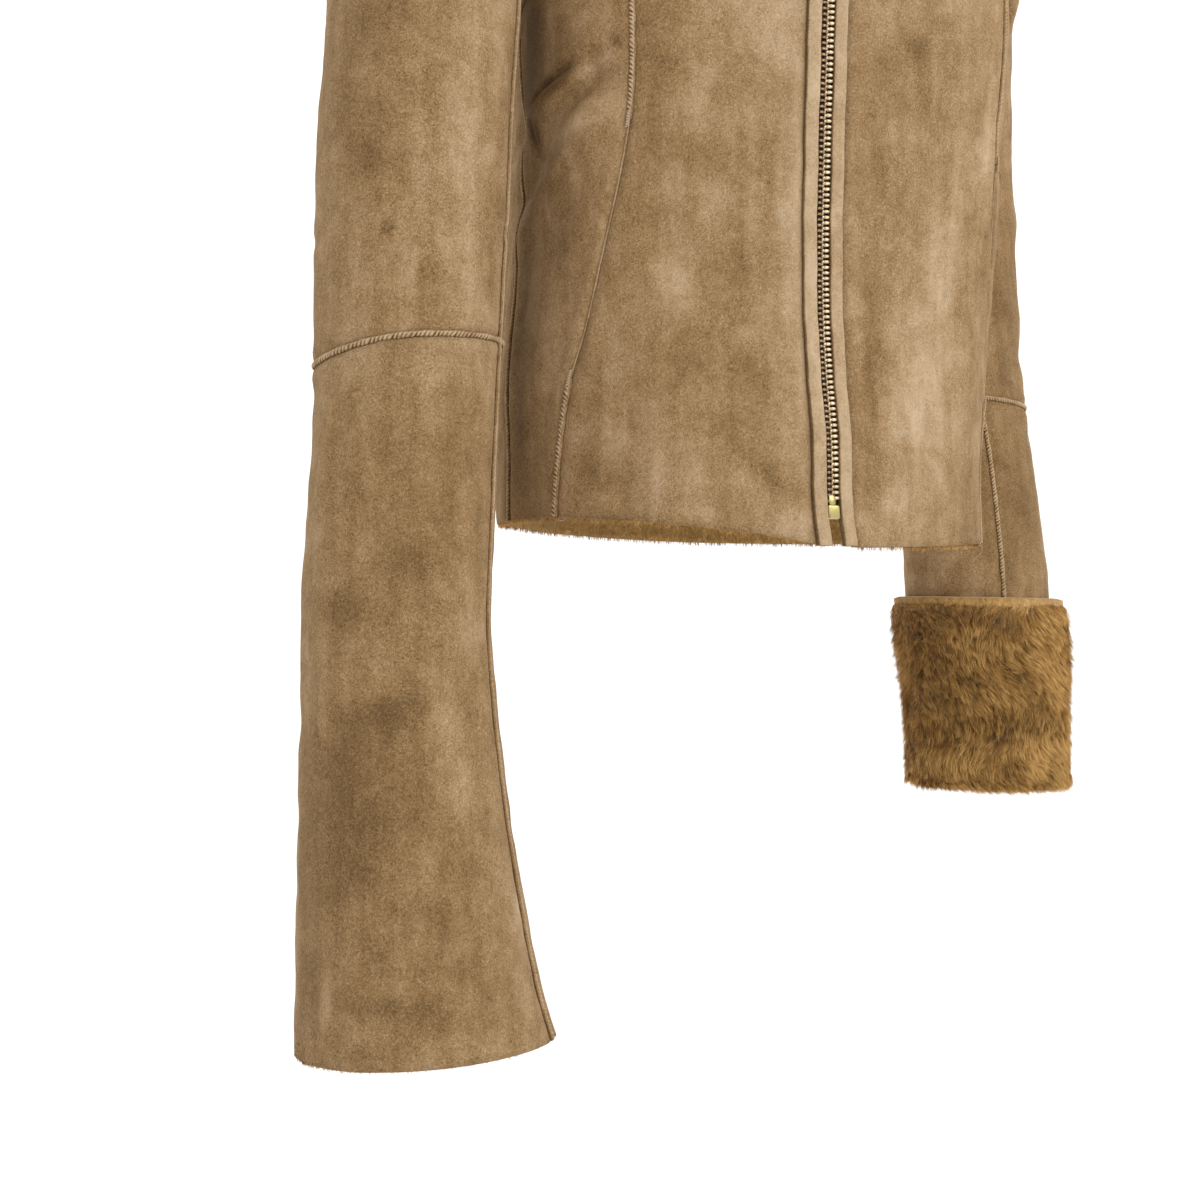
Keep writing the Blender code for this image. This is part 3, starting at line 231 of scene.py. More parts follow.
# Marks of lighter and darker tone: place on the picture, half sizes along and across, the long
# side's angle from level, and how much lighter (plus) or darker the suede is there. Some are
# brushed marks in the nap; the others are painted shade and painted highlights on the folds and
# creases, beside the zip, over the two sleeves, in the gap under the right arm and in the cuff's
# pile.
NAP_AND_SHADE_MARKS = (
    # px, py, long, short, angle, tone
    (387, 229, 8, 5, 80, -1.5), (372, 20, 40, 22, 90, -0.35), (365, 160, 42, 20, 80, -0.45),
    (436, 276, 26, 16, 60, -0.35), (416, 560, 24, 18, 90, -0.55), (355, 611, 46, 18, 8, -0.50),
    (391, 708, 34, 15, -8, -0.85), (472, 683, 26, 13, 100, -0.35), (352, 800, 55, 46, 90, -0.55),
    (345, 880, 44, 40, 90, -0.35), (448, 932, 26, 14, 70, -0.40), (466, 974, 17, 13, 90, -0.60),
    (400, 1010, 55, 14, 5, -0.40), (312, 1000, 60, 12, 90, -0.40), (525, 905, 70, 22, 75, 0.40),
    (439, 725, 40, 26, 90, 0.35), (462, 785, 30, 24, 90, 0.35), (472, 612, 60, 24, 90, 0.30),
    (470, 120, 150, 26, 92, 0.30), (318, 560, 130, 9, 91, 0.30), (475, 320, 20, 14, 90, 0.30),
    (560, 200, 60, 34, 75, -0.25), (565, 60, 60, 36, 90, -0.35), (655, 60, 80, 28, 95, -0.35),
    (640, 180, 70, 22, 95, -0.30), (522, 440, 70, 18, 90, -0.35), (765, 30, 40, 26, 90, 0.45),
    (797, 250, 240, 16, 90, 0.50), (735, 260, 30, 22, 0, -0.30), (700, 370, 60, 30, 30, -0.35),
    (720, 430, 50, 24, 10, -0.30), (768, 472, 42, 12, 40, -0.70), (585, 470, 26, 16, 90, -0.40),
    (590, 525, 50, 12, 4, -0.50), (690, 525, 70, 8, 6, -0.35), (610, 440, 34, 18, 20, 0.25),
    (678, 290, 34, 26, 60, 0.25), (885, 20, 26, 16, 90, 0.35), (915, 48, 14, 11, 0, -0.75),
    (905, 110, 44, 36, 90, -0.30), (875, 220, 90, 14, 90, -0.25), (872, 400, 80, 10, 90, -0.55),
    (940, 270, 70, 18, 100, 0.40), (922, 370, 70, 20, 100, 0.30), (925, 430, 40, 26, 90, 0.12),
    (985, 160, 60, 12, 95, 0.35), (970, 225, 16, 9, 90, -0.30), (960, 330, 60, 12, 95, -0.15),
    (885, 505, 26, 12, 0, 0.30), (925, 440, 60, 110, 0, 0.35), (940, 250, 50, 70, 0, 0.15),
    # these rows: painted shade over both sleeves, and painted shade and highlights on the creases
    # under the right arm and in the gap beside it
    (480, 330, 110, 30, 90, 0.10), (1010, 300, 110, 30, 88, -0.65), (1010, 510, 90, 60, 85, -0.75),
    (1000, 380, 12, 20, 0, -0.3), (400, 860, 240, 130, 90, -0.42), (400, 520, 140, 130, 90, -0.28),
    (400, 120, 140, 120, 90, -0.15), (554, 84, 22, 6, 134, -1.6), (590, 70, 40, 7, 146, 0.6),
    (618, 44, 9, 4, 50, -0.5), (536, 134, 15, 4, 75, -1.6), (570, 128, 40, 12, 145, 0.5),
    (530, 62, 70, 9, 95, -1.6), (522, 300, 160, 9, 92, -0.9), (515, 460, 60, 12, 90, 0.2),
    # the cuff's pile: painted shade in its hollows, and a painted highlight on its smoother
    # lighter side
    (965, 672, 18, 9, 20, -1.6), (1003, 622, 14, 8, 40, -1.3), (1012, 672, 10, 9, 0, -1.2),
    (1000, 732, 16, 7, 10, -1.3), (1040, 727, 12, 6, 0, -0.9), (950, 735, 12, 12, 0, -1.0),
    (1050, 650, 40, 20, 90, 1.1), (1045, 755, 24, 22, 0, 0.8), (960, 630, 24, 12, 0, 0.3),
    (985, 700, 22, 10, 150, 0.6), (925, 690, 90, 30, 90, -0.5))


# ---- surfaces ----------------------------------------------------------------------------
def power(value, exponent):
    """Power that keeps the value's sign."""
    return np.sign(value) * np.abs(value) ** exponent


def unit(vectors):
    return vectors / np.maximum(np.linalg.norm(vectors, axis=-1, keepdims=True), 1e-12)


def sideways(vectors):
    """Unit vectors along the level part of others."""
    return unit(vectors * (1, 1, 0))


def square_at(angle, height):
    """How squared the body's section is: 2 is an ellipse."""
    front = read(BODY, "square", height)
    return np.where(np.cos(angle) >= 0, front, 2 + (front - 2) * BACK_SQUARE)


def body(angle, climb):
    """Point on the body's suede. climb is metres above the underarm, and past that a rise."""
    angle, climb = np.broadcast_arrays(np.asarray(angle, float), np.asarray(climb, float))
    height = UNDERARM + np.minimum(climb, 0)
    bend = 2 / square_at(angle, height)
    depth = np.where(np.cos(angle) >= 0, read(BODY, "front", height), read(BODY, "back", height))
    x = read(BODY, "half_width", height) * power(np.sin(angle), bend)
    y = -depth * power(np.cos(angle), bend)
    swing = np.clip(climb / ARM_RISE, 0, 1) * math.pi / 2
    shoulder = -SHOULDER_DROP * (np.abs(x) - NECK_HALF) / (SHOULDER_HALF - NECK_HALF)
    z = height + (shoulder - UNDERARM) * np.sin(swing)
    y = y * np.maximum(np.cos(swing), 0) ** SHOULDER_ROUND
    sway = np.clip((SWAY_START - z) / SWAY_HEIGHT, 0, 1) ** 1.5 * np.exp(-(x / SWAY_HALF) ** 2)
    x = x + HEM_SWAY * sway * (y < 0)
    turn = np.radians(read(BODY, "turn", z))
    ahead = y + TURN_PIVOT
    return np.stack([x * np.cos(turn) - ahead * np.sin(turn),
                     x * np.sin(turn) + ahead * np.cos(turn) - TURN_PIVOT, z], axis=-1)


def body_normal(angle, climb):
    """Direction out of the suede; along the shoulder seam the mean of both sides."""
    angle, climb = np.broadcast_arrays(np.asarray(angle, float), np.asarray(climb, float))
    step = 2e-3
    near = np.minimum(climb, 0.985 * ARM_RISE)

    def raw(at):
        along = body(at + step, near) - body(at - step, near)
        up = body(at, near + step / 4) - body(at, near - step / 4)
        return unit(np.cross(along, up))
    normal = raw(angle)
    seam = (climb > 0.99 * ARM_RISE)[..., None]
    return np.where(seam, unit(normal + raw(math.pi - angle)), normal)


def fold_lift(position, folds):
    """Sum of soft ridges and troughs, each fading at its ends, at (distance round, height)."""
    lift = np.zeros(position.shape[:-1])
    for start, end, half_width, height in folds:
        axis = np.subtract(end, start)
        length = np.linalg.norm(axis)
        axis = axis / length
        offset = position - np.array(start)
        along = offset @ axis
        across = offset[..., 0] * axis[1] - offset[..., 1] * axis[0]
        past = np.maximum(np.maximum(-along, along - length), 0) / (1.5 * half_width)
        lift = lift + height * np.exp(-(across / half_width) ** 2 - past ** 2)
    return lift


def placed_folds(rows, radius):
    """Rows of a fold table, with their degrees as metres."""
    return [((math.radians(a) * radius, b), (math.radians(c) * radius, d), width * MM, lift * MM)
            for a, b, c, d, width, lift in rows]


def body_relief(angle, climb):
    """How far the folds lift the body's suede."""
    position = np.stack([angle * BODY_RADIUS, UNDERARM + np.minimum(climb, 0.05)], axis=-1)
    folds = placed_folds(BODY_FOLDS, BODY_RADIUS)
    wrapped = position.copy()
    wrapped[..., 0] -= FULL_TURN * BODY_RADIUS * np.sign(wrapped[..., 0])
    return fold_lift(position, folds) + fold_lift(wrapped, folds)


def seam_angle(side, climb):
    """Degrees of the princess seam, the same way on both sides."""
    height = UNDERARM + np.minimum(climb, 0)
    reach = read(BODY, "seam_left" if side > 0 else "seam_right", height)
    angle = np.degrees(np.arcsin((reach / read(BODY, "half_width", height))
                                 ** (square_at(0, height) / 2)))
    join = float(read(ARMHOLE, "front", PRINCESS_JOIN))
    top = float(read(ARMHOLE, "front_rise", PRINCESS_JOIN)) * ARM_RISE
    return angle + (join - angle) * np.clip(climb / top, 0, 1) ** 1.5


def hem_climb(angle):
    """Climb of the hem at a number of degrees."""
    return read(HEM, "height", (np.asarray(angle) + 180) % 360 - 180) - UNDERARM


def armhole(part, face):
    """(degrees, climb) up the armhole's front or back edge."""
    return read(ARMHOLE, face, part), read(ARMHOLE, face + "_rise", part) * ARM_RISE


def front_edge_angle(climb):
    """Degrees of a front's edge beside the zip."""
    height = UNDERARM + np.minimum(climb, 0)
    reach = (PANEL_EDGE / read(BODY, "half_width", height)) ** (square_at(0, height) / 2)
    return np.degrees(np.arcsin(reach))


def front_top(part):
    """(degrees, climb) along the neckline and then the shoulder."""
    angle = read(FRONT_TOP, "angle", part)
    climb = read(FRONT_TOP, "rise", part) * ARM_RISE
    start = float(read(FRONT_TOP, "rise", 0)) * ARM_RISE
    short = front_edge_angle(start) - float(read(FRONT_TOP, "angle", 0))
    return angle + short * np.clip(1 - part / NECK_PART, 0, 1), climb


def collar_point(base, part):
    """Point of the stand collar above one of the neckline."""
    beside = np.clip((np.abs(base[..., 0]) - 0.02) / 0.04, 0, 1)
    lean = np.stack([-0.10 * base[..., 0] * beside, -0.10 * (base[..., 1] + 0.03),
                     np.full(base.shape[:-1], COLLAR_HEIGHT)], axis=-1)
    return base + lean * part


def neck_loop(count):
    """(angle, climb) round the neckline, from the right front edge over the back to the left."""
    part = np.linspace(0, NECK_PART, count)
    front = np.stack(front_top(part), axis=-1)
    part = part[::-1][1:]
    back = np.stack([180 - read(BACK_TOP, "angle", part), read(BACK_TOP, "rise", part) * ARM_RISE],
                    axis=-1)
    half = np.concatenate([front, back])
    return np.concatenate([half * (-1, 1), half[::-1][1:]])


def sleeve_section(side, height, angle):
    """Points of one section, round from the body side forwards."""
    tab = SLEEVE[side]
    height, angle = np.broadcast_arrays(np.asarray(height, float), np.asarray(angle, float))
    towards = read(tab, "x", height) - read(tab, "across", height) * np.cos(angle)
    rise = MOUTH_RISE * (side < 0) * np.clip((-0.84 - height) / 0.12, 0, 1) ** 1.5
    sag = ELBOW_SAG * (side < 0) * np.exp(-((height - ELBOW[-1]) / 0.05) ** 2)
    return np.stack([side * towards,
                     read(tab, "y", height) - read(tab, "deep", height) * np.sin(angle),
                     height + read(tab, "tilt", height) * np.cos(angle)
                     + rise * np.sin(angle) - sag * np.clip(-np.cos(angle), 0, 1) ** 2], axis=-1)


def sleeve_out(side, height, skin):
    """Level directions away from the sleeve's middle, at points of its skin."""
    middle = sleeve_section(side, height, 0) / 2 + sleeve_section(side, height, math.pi) / 2
    return sideways(skin - middle)


def armhole_loop(side, angle):
    """(body angle, climb) of the armhole at the turns of a sleeve section."""
    part = angle / math.pi
    ahead = part <= 1
    up = np.where(ahead, part, 2 - part)
    front_angle, front_climb = armhole(up, "front")
    back_angle, back_climb = armhole(up, "back")
    around = np.where(ahead, front_angle, 180 - back_angle)
    return np.radians(side * around), np.where(ahead, front_climb, back_climb)


def sleeve_head(side, part, angle):
    """From the armhole out over the shoulder and down to the first level section."""
    hole = armhole_loop(side, angle)
    start, end = body(*hole), sleeve_section(side, UPPER_ARM, angle)
    reach = np.linalg.norm(end - start, axis=-1, keepdims=True)
    close = LEFT_CLOSE * (side > 0) * (1 - np.cos(angle))[..., None] / 2
    way = np.array([side * 1.0, 0, -0.42]) + close * np.array([-0.3 * side, 0, -0.58])
    leave = reach * (1.05 - 0.45 * close) * unit(way + 0.25 * body_normal(*hole))
    arrive = reach * DOWN
    t = part
    return (start * (1 + t * t * (2 * t - 3)) + end * t * t * (3 - 2 * t)
            + leave * t * (1 - t) ** 2 + arrive * t * t * (t - 1))


def tube_normals(skin):
    """Directions out of a tube that is given row by row."""
    round_way = np.roll(skin, -1, axis=1) - np.roll(skin, 1, axis=1)
    normal = unit(np.cross(round_way, np.gradient(skin, axis=0)))
    outward = skin - skin.mean(axis=1, keepdims=True)
    return -normal if np.sum(normal * outward) < 0 else normal


def sleeve_relief(side, skin, angle):
    """How far the folds lift the sleeve's suede."""
    folds = placed_folds([row[1:] for row in SLEEVE_FOLDS if row[0] == side], SLEEVE_RADIUS)
    position = np.stack([np.broadcast_to(angle * SLEEVE_RADIUS, skin.shape[:2]), skin[..., 2]],
                        axis=-1)
    slack = OUTER_SLACK * (side < 0) * np.clip(-np.cos(angle), 0, 1) ** 2
    return fold_lift(position, folds) - slack


def waves(points, seed, shortest, longest, lift):
    """Soft unevenness from seeded plane waves, with wavelengths in a range."""
    draw = np.random.default_rng(seed)
    total = np.zeros(points.shape[:-1])
    for _ in range(WAVE_COUNT):
        way = unit(draw.normal(size=3))
        length = shortest * (longest / shortest) ** draw.random()
        total += np.sin(points @ way * (FULL_TURN / length) + draw.random() * FULL_TURN)
    return total * lift / math.sqrt(WAVE_COUNT / 2)


def on_picture(points):
    """Where points show on the photograph, as (px, py)."""
    away = points - np.array(EYE)
    ahead = away @ (math.sin(LOOK_TURN), math.cos(LOOK_TURN), 0)
    aside = away @ (math.cos(LOOK_TURN), -math.sin(LOOK_TURN), 0)
    scale = PICTURE * LENS / SENSOR / np.maximum(ahead, 0.05)
    return PICTURE / 2 + aside * scale, PICTURE / 2 - away[..., 2] * scale


def nap_and_shade_tone(points, normal):
    """Lighter and darker tone from the marks, brushed nap and painted shade and highlights, on
    what faces the camera.
    """
    px, py = on_picture(points)
    facing = np.sum(normal * unit(np.array(EYE) - points), axis=-1)
    tone = np.zeros(px.shape)
    for x, y, long, short, angle, mark in NAP_AND_SHADE_MARKS:
        c, s = math.cos(math.radians(angle)), math.sin(math.radians(angle))
        along, across = (px - x) * c + (py - y) * s, (py - y) * c - (px - x) * s
        tone += mark * np.exp(-(along / long) ** 2 - (across / short) ** 2)
    return tone * np.clip(facing * 4, 0, 1)


# ---- mesh pieces -------------------------------------------------------------------------
def grid_faces(rows, columns, wrap=False, first=0, flip=False):
    """Quads of a grid of points, numbered row by row."""
    row = np.arange(rows - 1)[:, None] * columns
    c = np.arange(columns if wrap else columns - 1)[None]
    after = (c + 1) % columns
    quads = np.stack(np.broadcast_arrays(row + c, row + after, row + columns + after,
                                         row + columns + c), axis=-1)
    quads = quads.reshape(-1, 4) + first
    return quads[:, ::-1] if flip else quads


def end_caps(rows, columns):
    """The two end faces of a run of closed sections, numbered row by row."""
    return [np.arange(columns)[::-1][None], (np.arange(columns) + (rows - 1) * columns)[None]]


def placed(name, data):
    """New object in the scene, from its mesh, camera or light."""
    work = bpy.data.objects.new(name, data)
    bpy.context.scene.collection.objects.link(work)
    return work


def piece(name, points, faces, materials, which=None, values=None):
    """New mesh object from arrays, riding on the jacket. faces is an array or a list of them."""
    groups = [np.asarray(f) for f in (faces if isinstance(faces, list) else [faces])]
    points = np.asarray(points, float).reshape(-1, 3)
    mesh = bpy.data.meshes.new(name)
    mesh.vertices.add(len(points))
    mesh.vertices.foreach_set("co", points.ravel())
    sizes = np.concatenate([np.full(len(g), g.shape[1]) for g in groups])
    mesh.loops.add(int(sizes.sum()))
    mesh.loops.foreach_set("vertex_index", np.concatenate([g.ravel() for g in groups]))
    mesh.polygons.add(len(sizes))
    mesh.polygons.foreach_set("loop_start", np.concatenate([[0], np.cumsum(sizes)[:-1]]))
    mesh.polygons.foreach_set("use_smooth", np.full(len(sizes), True))
    for made in materials if isinstance(materials, (list, tuple)) else [materials]:
        mesh.materials.append(made)
    if which is not None:
        mesh.polygons.foreach_set("material_index", np.asarray(which, np.int32))
    for key, value in (values or {}).items():
        layer = mesh.attributes.new(key, "FLOAT", "POINT")
        layer.data.foreach_set("value", np.asarray(value, np.float32).ravel())
    mesh.update(calc_edges=True)
    mesh.validate()
    work = placed(name, mesh)
    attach(work, JACKET)
    return work


def shell(name, outer, inner, materials, tone, wrap=False):
    """Closed wall of cloth between two grids: suede outside, pile inside and at its edges."""
    rows, columns = outer.shape[:2]
    half = rows * columns
    faces = [grid_faces(rows, columns, wrap), grid_faces(rows, columns, wrap, half, True)]
    rims = [np.arange(columns), np.arange(columns)[::-1] + (rows - 1) * columns]
    if wrap:
        rims = [np.append(rims[0], 0), np.append(rims[1], rims[1][0])]
    else:
        rims += [np.arange(rows)[::-1] * columns, np.arange(rows) * columns + columns - 1]
    for ids in rims:
        faces.append(np.stack([ids[1:], ids[:-1], ids[:-1] + half, ids[1:] + half], axis=-1))
    which = np.concatenate([np.full(len(f), 0 if i == 0 else 1) for i, f in enumerate(faces)])
    tones = np.concatenate([tone.ravel(), np.zeros(half)])
    return piece(name, np.concatenate([outer.reshape(-1, 3), inner.reshape(-1, 3)]), faces,
                 materials, which, {"nap": tones})


def spaced(width, step, fine_start, fine_end):
    """Parts from 0 to 1 along a width in metres, closer together beside the seams."""
    start = SEAM_ROWS[-1] if fine_start else 0
    end = SEAM_ROWS[-1] if fine_end else 0
    middle = np.linspace(start, width - end, max(3, int((width - start - end) / step)))
    parts = [middle]
    if fine_start:
        parts = [[0.0], SEAM_ROWS[:-1], *parts]
    if fine_end:
        parts = [*parts, width - SEAM_ROWS[:-1][::-1], [width]]
    return np.concatenate(parts) / width


def seam_dip(distance):
    """The cloth's height beside a seam: pulled down at the stitches and puffed up next to them."""
    return (0.9 * MM * np.exp(-((distance - 9 * MM) / (5 * MM)) ** 2)
            - 1.6 * MM * np.exp(-(distance / (2.6 * MM)) ** 2))


def unevenness(skin, near_seam, seed, longest, lift):
    """Broad soft dents that fade out beside the seams, and finer ones all over."""
    return (waves(skin, seed, 0.035, longest, lift) * np.clip(near_seam / 0.02, 0, 1)
            + waves(skin, seed + 1, 0.012, 0.03, 0.12 * MM))


def panel(name, bottom, top, left, right, size, fine, seed, materials, step):
    """A cut panel between four edge curves, each giving (degrees, climb) for parts 0 to 1."""
    width, height = size
    u = spaced(width, step, fine[0], fine[1])
    v = spaced(height, step, False, fine[2])

    def edge(curve, parts):
        return np.stack([np.broadcast_to(value, parts.shape) for value in curve(parts)], axis=-1)
    low, high, start, end = edge(bottom, u), edge(top, u), edge(left, v), edge(right, v)
    u2, v2 = u[None, :, None], v[:, None, None]
    ruled = (1 - v2) * low + v2 * high + (1 - u2) * start[:, None] + u2 * end[:, None]
    corners = ((1 - u2) * (1 - v2) * low[0] + u2 * (1 - v2) * low[-1]
               + (1 - u2) * v2 * high[0] + u2 * v2 * high[-1])
    plan = ruled - corners
    angle, climb = np.radians(plan[..., 0]), plan[..., 1]
    normal = body_normal(angle, climb)
    flat = body(angle, climb)
    lift = body_relief(angle, climb)
    across = np.cumsum(np.linalg.norm(np.diff(flat, axis=1, prepend=flat[:, :1]), axis=-1), axis=1)
    tall = np.cumsum(np.linalg.norm(np.diff(flat, axis=0, prepend=flat[:1]), axis=-1), axis=0)
    edges = [d for d, on in ((across, fine[0]), (across[:, -1:] - across, fine[1]),
                             (tall[-1:] - tall, fine[2])) if on]
    nearest = np.min(edges, axis=0)
    lift = lift + seam_dip(nearest) + unevenness(flat, nearest, seed, 0.16, 0.55 * MM)
    lift -= 0.8 * MM * np.exp(-(tall / (3 * MM)) ** 2)
    outer = flat + normal * lift[..., None]
    pile = WALL + waves(flat, seed + 2, 0.008, 0.022, 0.5 * MM)
    inner = flat + normal * (lift - pile)[..., None]
    return shell(name, outer, inner, materials, nap_and_shade_tone(outer, normal))


# ---- shader expressions ------------------------------------------------------------------
class Value:
    """A shader socket that does arithmetic: an expression on values adds its Math nodes."""

    def __init__(self, shade, socket):
        self.shade, self.socket = shade, socket

    def math(self, operation, *others, clamp=False):
        return self.shade.node("ShaderNodeMath", {"operation": operation, "use_clamp": clamp},
                               dict(enumerate((self, *others))))

    def __add__(self, other):
        return self.math("ADD", other)

    def __sub__(self, other):
        return self.math("SUBTRACT", other)

    def __rsub__(self, other):
        return self.shade.node("ShaderNodeMath", {"operation": "SUBTRACT"}, {0: other, 1: self})

    def __mul__(self, other):
        return self.math("MULTIPLY", other)

    __radd__, __rmul__ = __add__, __mul__

    def clamped(self):
        return self.math("ADD", 0.0, clamp=True)


class Shade:
    """One material, whose nodes are written as expressions."""

    def __init__(self, name, **constants):
        self.material = bpy.data.materials.new(name)
        self.material.use_nodes = True
        self.tree = self.material.node_tree
        self.surface = self.tree.nodes["Principled BSDF"]
        for key, value in constants.items():
            self.surface.inputs[key.replace("_", " ")].default_value = value

    def node(self, kind, settings=None, inputs=None, output=0):
        """A node of any type: its settings are set first, then its sockets' values or links."""
        made = self.tree.nodes.new(kind)
        for key, value in (settings or {}).items():
            if key == "stops":
                ramp = made.color_ramp.elements
                while len(ramp) < len(value):
                    ramp.new(0.5)
                for stop, (place, colour) in zip(ramp, value):
                    stop.position, stop.color = place, (*colour, 1)
            else:
                setattr(made, key, value)
        for key, value in (inputs or {}).items():
            if isinstance(value, Value):
                self.tree.links.new(value.socket, made.inputs[key])
            else:
                made.inputs[key].default_value = value
        return Value(self, made.outputs[output])

    def place(self, scale=(1, 1, 1), offset=(0, 0, 0)):
        """The point in the row frame, in metres, stretched by a scale."""
        where = self.node("ShaderNodeTexCoord", output="Object")
        return self.node("ShaderNodeMapping", {}, {"Vector": where, "Scale": scale,
                                                   "Location": offset})

    def noise(self, where, scale, detail=3.0, rough=0.5, twist=0.0):
        return self.node("ShaderNodeTexNoise", {}, {"Vector": where, "Scale": scale,
                                                    "Detail": detail, "Roughness": rough,
                                                    "Distortion": twist})

    def attribute(self, name):
        return self.node("ShaderNodeAttribute", {"attribute_name": name}, output="Fac")

    def ramp(self, value, *stops):
        return self.node("ShaderNodeValToRGB", {"stops": stops}, {0: value})

    def bump(self, height, strength, distance, below=None):
        inputs = {"Height": height, "Strength": strength, "Distance": distance}
        if below is not None:
            inputs["Normal"] = below
        return self.node("ShaderNodeBump", {}, inputs)

    def feed(self, **links):
        for key, value in links.items():
            self.tree.links.new(value.socket, self.surface.inputs[key.replace("_", " ")])
        return self.material


def suede_material(name, dark, middle, light, offset=(0, 0, 0)):
    """Napped suede: clouds and upright streaks of nap over a fine crumb of fibres.

    The scales are waves in a metre. The attribute carries brushed nap and painted shade and
    highlights. Where the nap stands up and where shade is painted, the crumb and its lines are
    deeper.
    """
    shade = Shade(name, Roughness=0.95, Sheen_Weight=0.16, Sheen_Roughness=0.4,
                  Sheen_Tint=(1.0, 0.82, 0.58, 1), Specular_IOR_Level=0.08)
    where = shade.place(offset=offset)
    upright = shade.place((1, 1, 0.14), offset)
    broad = shade.noise(where, 12, 3, 0.55, 0.6)
    cloud = shade.noise(where, 46, 4, 0.62, 0.5)
    streak = shade.noise(upright, 80, 3, 0.55)
    worm = (shade.noise(where, 340, 2, 0.55, 1.8) - 0.5).math("ABSOLUTE")
    line = ((0.042 - worm) * 24).clamped()
    crumb = shade.noise(where, 760, 3, 0.7, 0.8)
    fibre = shade.noise(where, 1500, 2, 0.6)
    # the attribute: brushed nap marks, with painted shade and painted highlights
    nap = shade.attribute("nap")
    lie_and_shade = ((broad - 0.5) * 0.30 + (cloud - 0.5) * 0.44 + (streak - 0.5) * 0.36 + nap * 0.32)
    rough = (0.50 - lie_and_shade * 1.6).clamped()
    tone = (lie_and_shade + 0.56 - line * (0.06 + rough * 0.40)
            + (crumb - 0.5) * (0.34 + rough * 0.8) + (fibre - 0.5) * 0.45).clamped()
    colour = shade.ramp(tone, (0.10, dark), (0.5, middle), (0.90, light))
    relief = shade.bump(crumb * 0.8 + fibre * 0.3 - line * 0.35, 0.8, 0.5 * MM)
    relief = shade.bump(shade.noise(where, 130, 3, 0.6, 0.5), 0.35, 0.9 * MM, relief)
    return shade.feed(Base_Color=colour, Roughness=0.97 - tone * 0.14, Normal=relief)


def pile_material(name, root, middle, tip):
    """Pile seen as a matted surface: short waves of golden fibre, darkened in the bump's hollows
    as painted shade.
    """
    shade = Shade(name, Roughness=0.9, Sheen_Weight=0.3, Sheen_Roughness=0.5,
                  Sheen_Tint=(1.0, 0.85, 0.6, 1), Specular_IOR_Level=0.1)
    where = shade.place((1, 1, 0.7))
    clump = shade.noise(where, 210, 4, 0.62, 1.4)
    strand = shade.noise(shade.place((1, 1, 0.2)), 1300, 3, 0.6, 0.6)
    tone = ((clump - 0.5) * 1.3 + (strand - 0.5) * 0.8 + 0.5).clamped()
    colour = shade.ramp(tone, (0.15, root), (0.5, middle), (0.85, tip))
    relief = shade.bump(clump + strand * 0.4, 0.9, 2.2 * MM)
    return shade.feed(Base_Color=colour, Normal=relief)


def strand_material(name, root, middle, tip):
    """Single pile fibres: dark at the root, golden at the tip, and uneven from lock to lock."""
    shade = Shade(name, Roughness=0.62, Sheen_Weight=0.15, Specular_IOR_Level=0.25)
    along = shade.attribute("tip")
    lock, nap = shade.attribute("lock"), shade.attribute("nap")
    drift = shade.noise(shade.place(), 34, 3, 0.55, 0.8)
    # the attribute adds painted shade in the cuff's hollows and a painted highlight on its lighter
    # side
    tone = (along * 0.66 + (lock - 0.5) * 0.34 + (drift - 0.5) * 1.5 + nap * 0.3
            + 0.16).clamped()
    colour = shade.ramp(tone, (0.05, root), (0.48, middle), (0.92, tip))
    return shade.feed(Base_Color=colour)


def metal_material(name, dark, bright, roughness):
    """Worn metal: darker in its hollows, with fine uneven tarnish and rubbed high spots."""
    shade = Shade(name, Metallic=1.0, Roughness=roughness)
    where = shade.place()
    tarnish = shade.noise(where, 900, 4, 0.6)
    rubbed = shade.noise(where, 260, 2, 0.5)
    # the attribute lightens one row of teeth and darkens the other: painted highlight and painted
    # shade
    tone = (tarnish * 0.6 + rubbed * 0.5 + shade.attribute("nap")).clamped()
    colour = shade.ramp(tone, (0.25, dark), (0.75, bright))
    relief = shade.bump(tarnish, 0.25, 0.1 * MM)
    return shade.feed(Base_Color=colour, Roughness=roughness + 0.18 - tone * 0.25, Normal=relief)


def tape_material(name, dark, light):
    """Woven zip tape: slanted ribs of brown yarn."""
    shade = Shade(name, Roughness=0.85, Sheen_Weight=0.2)
    weave = shade.node("ShaderNodeTexWave", {"bands_direction": "DIAGONAL"},
                       {"Vector": shade.place(), "Scale": 380.0, "Distortion": 1.5,
                        "Detail": 2.0})
    colour = shade.ramp(weave, (0.2, dark), (0.8, light))
    return shade.feed(Base_Color=colour, Normal=shade.bump(weave, 0.6, 0.3 * MM))


def paper_material(name, colour):
    """Plain pale paper for the floor and backdrop, with the faintest unevenness."""
    shade = Shade(name, Roughness=0.9)
    drift = shade.noise(shade.place(), 1.3, 2, 0.5)
    tone = shade.ramp(drift, (0.3, tuple(c * 0.985 for c in colour)), (0.7, colour))
    return shade.feed(Base_Color=tone)


# ---- what a user would change --------------------------------------------------------------
def colour_property(name, words, value):
    """A colour that a user can change."""
    return FloatVectorProperty(name=name, description=words, subtype="COLOR", size=3, min=0, max=1,
                               default=value)


class SuedeSettings(bpy.types.PropertyGroup):
    """Colours of the suede, as its nap lies; its painted shade and highlights are shown in the
    same colours.
    """
    dark: colour_property("Dark nap", "Colour where the nap is brushed up", (0.135, 0.076, 0.030))
    middle: colour_property("Middle nap", "Colour of most of the suede", (0.330, 0.204, 0.092))
    light: colour_property("Light nap", "Colour where the nap lies flat", (0.610, 0.450, 0.290))


